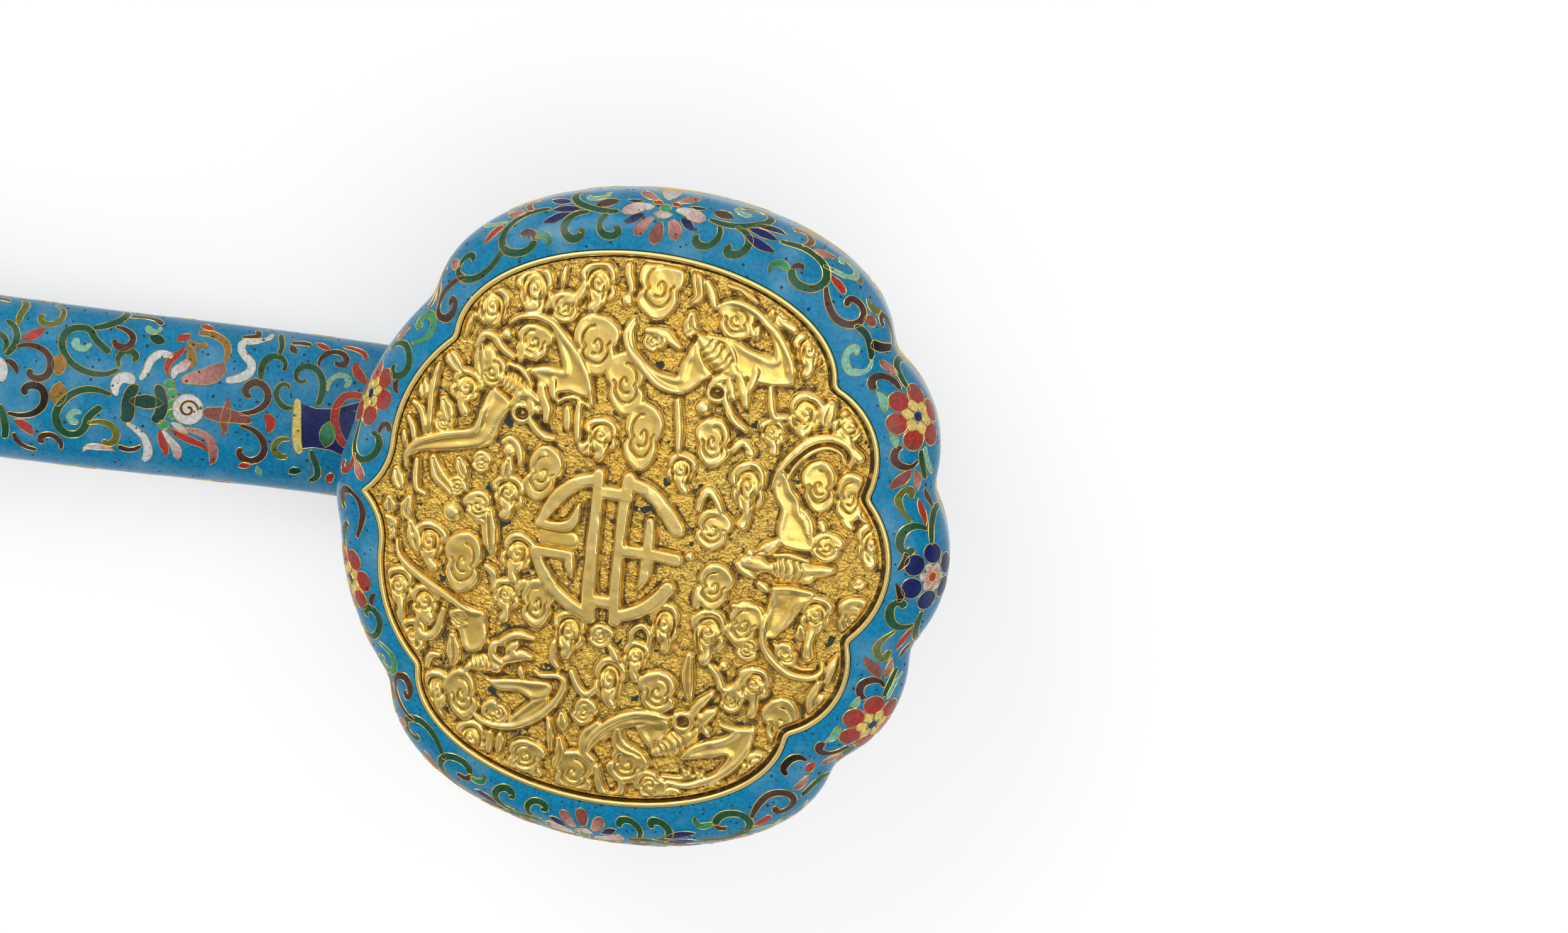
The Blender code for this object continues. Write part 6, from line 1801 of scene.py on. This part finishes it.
scrolls, lotus, neck = read_motifs(SHAFT_SCROLLS), read_motifs(SHAFT_LOTUS), read_motifs(SHAFT_NECK)
head_shaft_inlay = Inlay(head_stretch)
for flip, shift in ((1, 0.0), (-1, 2 * LOZENGES)):
    kept = [motif for motif in scrolls + lotus + neck
            if min(flip * along + shift for along, _ in motif[1]) > END_CLEAR
            and (flip > 0 or min(along for along, _ in motif[1]) > LOTUS_FROM)]
    lay_cells(head_shaft_inlay, kept, flip, shift)
    lay_heart(head_shaft_inlay, flip, shift)
lay_cells(head_shaft_inlay, scrolls[13:] + lotus[:6], 1, 62.0)
run_to = head_stretch.length - RUN_END
for start, side in ((HOOK_FROM, 13), (HOOK_FROM, -13), *((RUN_END, side) for side in BACK_RUNS)):
    running_scroll(head_shaft_inlay, BACK_RUN, start, run_to, side)
running_scroll(head_shaft_inlay, RIM_RUN, RUN_END, 102, *SIDE_RUN)
head_shaft_inlay.finish("shaft_head", "blue_enamel")

tail_shaft_inlay = Inlay(tail_stretch)
centre = tail_stretch.length / 2
for flip in (1, -1):
    shift = centre - flip * LOZENGES
    lay_cells(tail_shaft_inlay, scrolls[13:] + lotus, flip, shift)
    lay_heart(tail_shaft_inlay, flip, shift)
    lay_cells(tail_shaft_inlay, scrolls[7:9], flip, shift)
for side in BACK_RUNS:
    running_scroll(tail_shaft_inlay, BACK_RUN, RUN_END, tail_stretch.length - RUN_END, side)
running_scroll(tail_shaft_inlay, RIM_RUN, 14, tail_stretch.length - 14, *SIDE_RUN)
for flip, hand in ((1, 1), (1, -1), (-1, 1), (-1, -1)):
    for (form, colour, width), line in read_motifs(SHAFT_END):
        places = [(centre + flip * (centre - along), hand * out) for along, out in line]
        tail_shaft_inlay.cell(places, float(width), form, colour)
tail_shaft_inlay.finish("shaft_tail", "blue_enamel")

# Middle and tail boxes
# Two smaller lobed boxes, built like the head: an enamelled shell, a back plate, a gilt bezel
# and a chased plaque with a small longevity roundel among clouds.

BOX_RINGS = 120
BOX_BUDS = 18                            # blossoms round a small box's rim
ENTRY_CLEAR = 13.0                       # walls left plain to each side of the shaft
FLOWER_CLEAR = 6.5
WALL_MIDDLE = 7.0
BOSSES_AT = (0.50, 0.46)                 # shares of a small plaque's half length and half width


class RimWall:
    """The wall under a rim's widest line. A place on it is a distance along it and one down."""

    handed = -1

    def __init__(self, rim):
        self.rim = rim

    def place(self, points, lift):
        lower = np.arcsin(np.clip(points[:, 1] / (self.rim.depth - RIM_BULGE), 0, 0.98))
        out = self.rim.face * (1 + 2 * lower / math.pi)
        return self.rim.place(np.stack([points[:, 0], out], 1), lift)


def dress_small_box(name, rim):
    """Blossoms and leaves round the rim, and scrolls to both sides of a flower on each long wall."""
    inlay = Inlay(rim)
    step = rim.length / BOX_BUDS
    out = 0.52 * rim.face
    for index in range(BOX_BUDS):
        here = (index + 0.5) * step
        inlay.blossom((here, out), 5, 1.3, 1.3, 1.1, *(("red", "rose"), ("pink", "white"))[index % 2])
        inlay.dot((here, out), 0.5, "yellow")
        for side in (1, -1):
            line = [(here + side * 2.3, out), (here + side * 3.4, out - 0.9), (here + side * 4.6, out - 0.2)]
            inlay.cell(line, 1.0, "leaf", ("green", "leafgreen")[index % 2])
    inlay.finish(name + "_rim", "blue_enamel")
    wall = Inlay(RimWall(rim))
    quarter = rim.length / 4
    for index in range(4):
        before, after = (ENTRY_CLEAR, FLOWER_CLEAR) if index % 2 == 0 else (FLOWER_CLEAR, ENTRY_CLEAR)
        start, end = index * quarter + before, (index + 1) * quarter - after
        running_scroll(wall, RIM_RUN, start, end, WALL_MIDDLE, 3.0, 12.0)
    for along in (quarter, 3 * quarter):
        red_flower(wall, (along, WALL_MIDDLE), 1.9, 1.7, 1.5, "yellow", "white")
    wall.finish(name + "_wall", "blue_enamel")


def box_outlines(half, notch):
    """The upper edge and the widest line of a four-lobed box."""
    outlines = []
    for grown in (0.0, BOX_RIM):
        corner = moved(notch, grown, BOX_NOTCH_ANGLE)
        end = (half[0] + grown - corner[0], True)
        side = (half[1] + grown - corner[1], False)
        outlines.append(lobed_outline([corner, (-corner[0], corner[1])], [end, side, end]))
    return outlines


def make_small_box(name, centre, turn, half, notch):
    """One small box with its enamel, its bezel and its plaque."""
    rim = Rim(box_outlines(half, notch), BOX_DEPTH, frame_matrix(centre, 0, turn))
    make_rim_shell(name + "_enamel_shell", rim, name + "_shell")
    make_back_plate(name + "_enamel_back", rim, name + "_back_plate", 0.8)
    dress_small_box(name, rim)
    make_bezel(name + "_gilt_bezel", rim, name + "_bezel")
    sheet = Sheet(rim, BOX_RINGS, BOX_DOME)
    for index in range(12):
        degrees = 15 + 30 * index
        reach = 0.80 if index % 3 == 1 else 0.72
        hand = 1 if index % 2 else -1
        sheet.cloud(moved((0, 0), reach, degrees) * np.array(half), 4.6, 4.4, degrees + 60 * hand, None, hand)
    for degrees in (45, 135, 225, 315):
        sheet.knob(moved((0, 0), 1, degrees) * np.array(half) * BOSSES_AT, 1.0, 1.0)
    roundel(sheet, (0, 0), 6.6)
    sheet.finish(name + "_gilt_plaque", name + "_plaque")


make_small_box("middle", MIDDLE_CENTRE, 0, MIDDLE_HALF, MIDDLE_NOTCH)
make_small_box("tail", TAIL_CENTRE, 180, TAIL_HALF, TAIL_NOTCH)

# Tassel loop
# A gilt ring for a silk tassel, on a short stem through a round rosette at the tail's end.

LOOP_RADIUS = 5.7
LOOP_WIRE = 2.6
LOOP_STEM = 3.2
STEM_IN_SHELL = 3.5
ROSETTE_RADIUS = 4.5
ROSETTE_THICKNESS = 1.2

reach = TAIL_HALF[0] + BOX_RIM
loop_height = TAIL_CENTRE[2] - BOX_ABOVE_SHAFT
ring_at = TAIL_CENTRE[0] - (reach + 2 * GAP + ROSETTE_THICKNESS + LOOP_RADIUS + LOOP_WIRE / 2)


def rod(start, end, radius, vertices):
    """A round bar along the scepter between two places on its length."""
    bpy.ops.object.select_all(action="DESELECT")
    bpy.ops.mesh.primitive_cylinder_add(vertices=vertices, radius=radius * MM, depth=abs(start - end) * MM,
                                        location=Vector(((start + end) / 2, 0, loop_height)) * MM,
                                        rotation=(0, math.pi / 2, 0))
    return bpy.context.object


def finish_part(piece, name, node):
    """Finish a gilt piece made from primitives: its edges, its place in the mesh and its frame."""
    bpy.context.view_layer.update()
    piece.name = name
    piece.data.transform(piece.matrix_world)
    piece.matrix_world = Matrix.Identity(4)
    bpy.ops.object.shade_smooth_by_angle(angle=math.radians(40))
    settle(piece, bezel_gilt, "gilt_copper", node)


bpy.ops.mesh.primitive_torus_add(major_segments=72, minor_segments=24, major_radius=LOOP_RADIUS * MM,
                                 minor_radius=LOOP_WIRE / 2 * MM,
                                 location=Vector((ring_at, 0, loop_height)) * MM)
ring = bpy.context.object
rod(TAIL_CENTRE[0] - reach + STEM_IN_SHELL, ring_at + LOOP_RADIUS, LOOP_STEM / 2, 32)
ring.select_set(True)
bpy.context.view_layer.objects.active = ring
bpy.ops.object.join()
finish_part(ring, "tassel_gilt_loop", "tassel_loop")

rosette_from = TAIL_CENTRE[0] - reach - GAP
rosette = rod(rosette_from, rosette_from - ROSETTE_THICKNESS, ROSETTE_RADIUS, 64)
work_on(rosette)
bpy.ops.mesh.bevel(offset=EDGE_BEVEL * MM, segments=3)
bpy.ops.object.mode_set(mode="OBJECT")
finish_part(rosette, "tail_gilt_rosette", "loop_rosette")
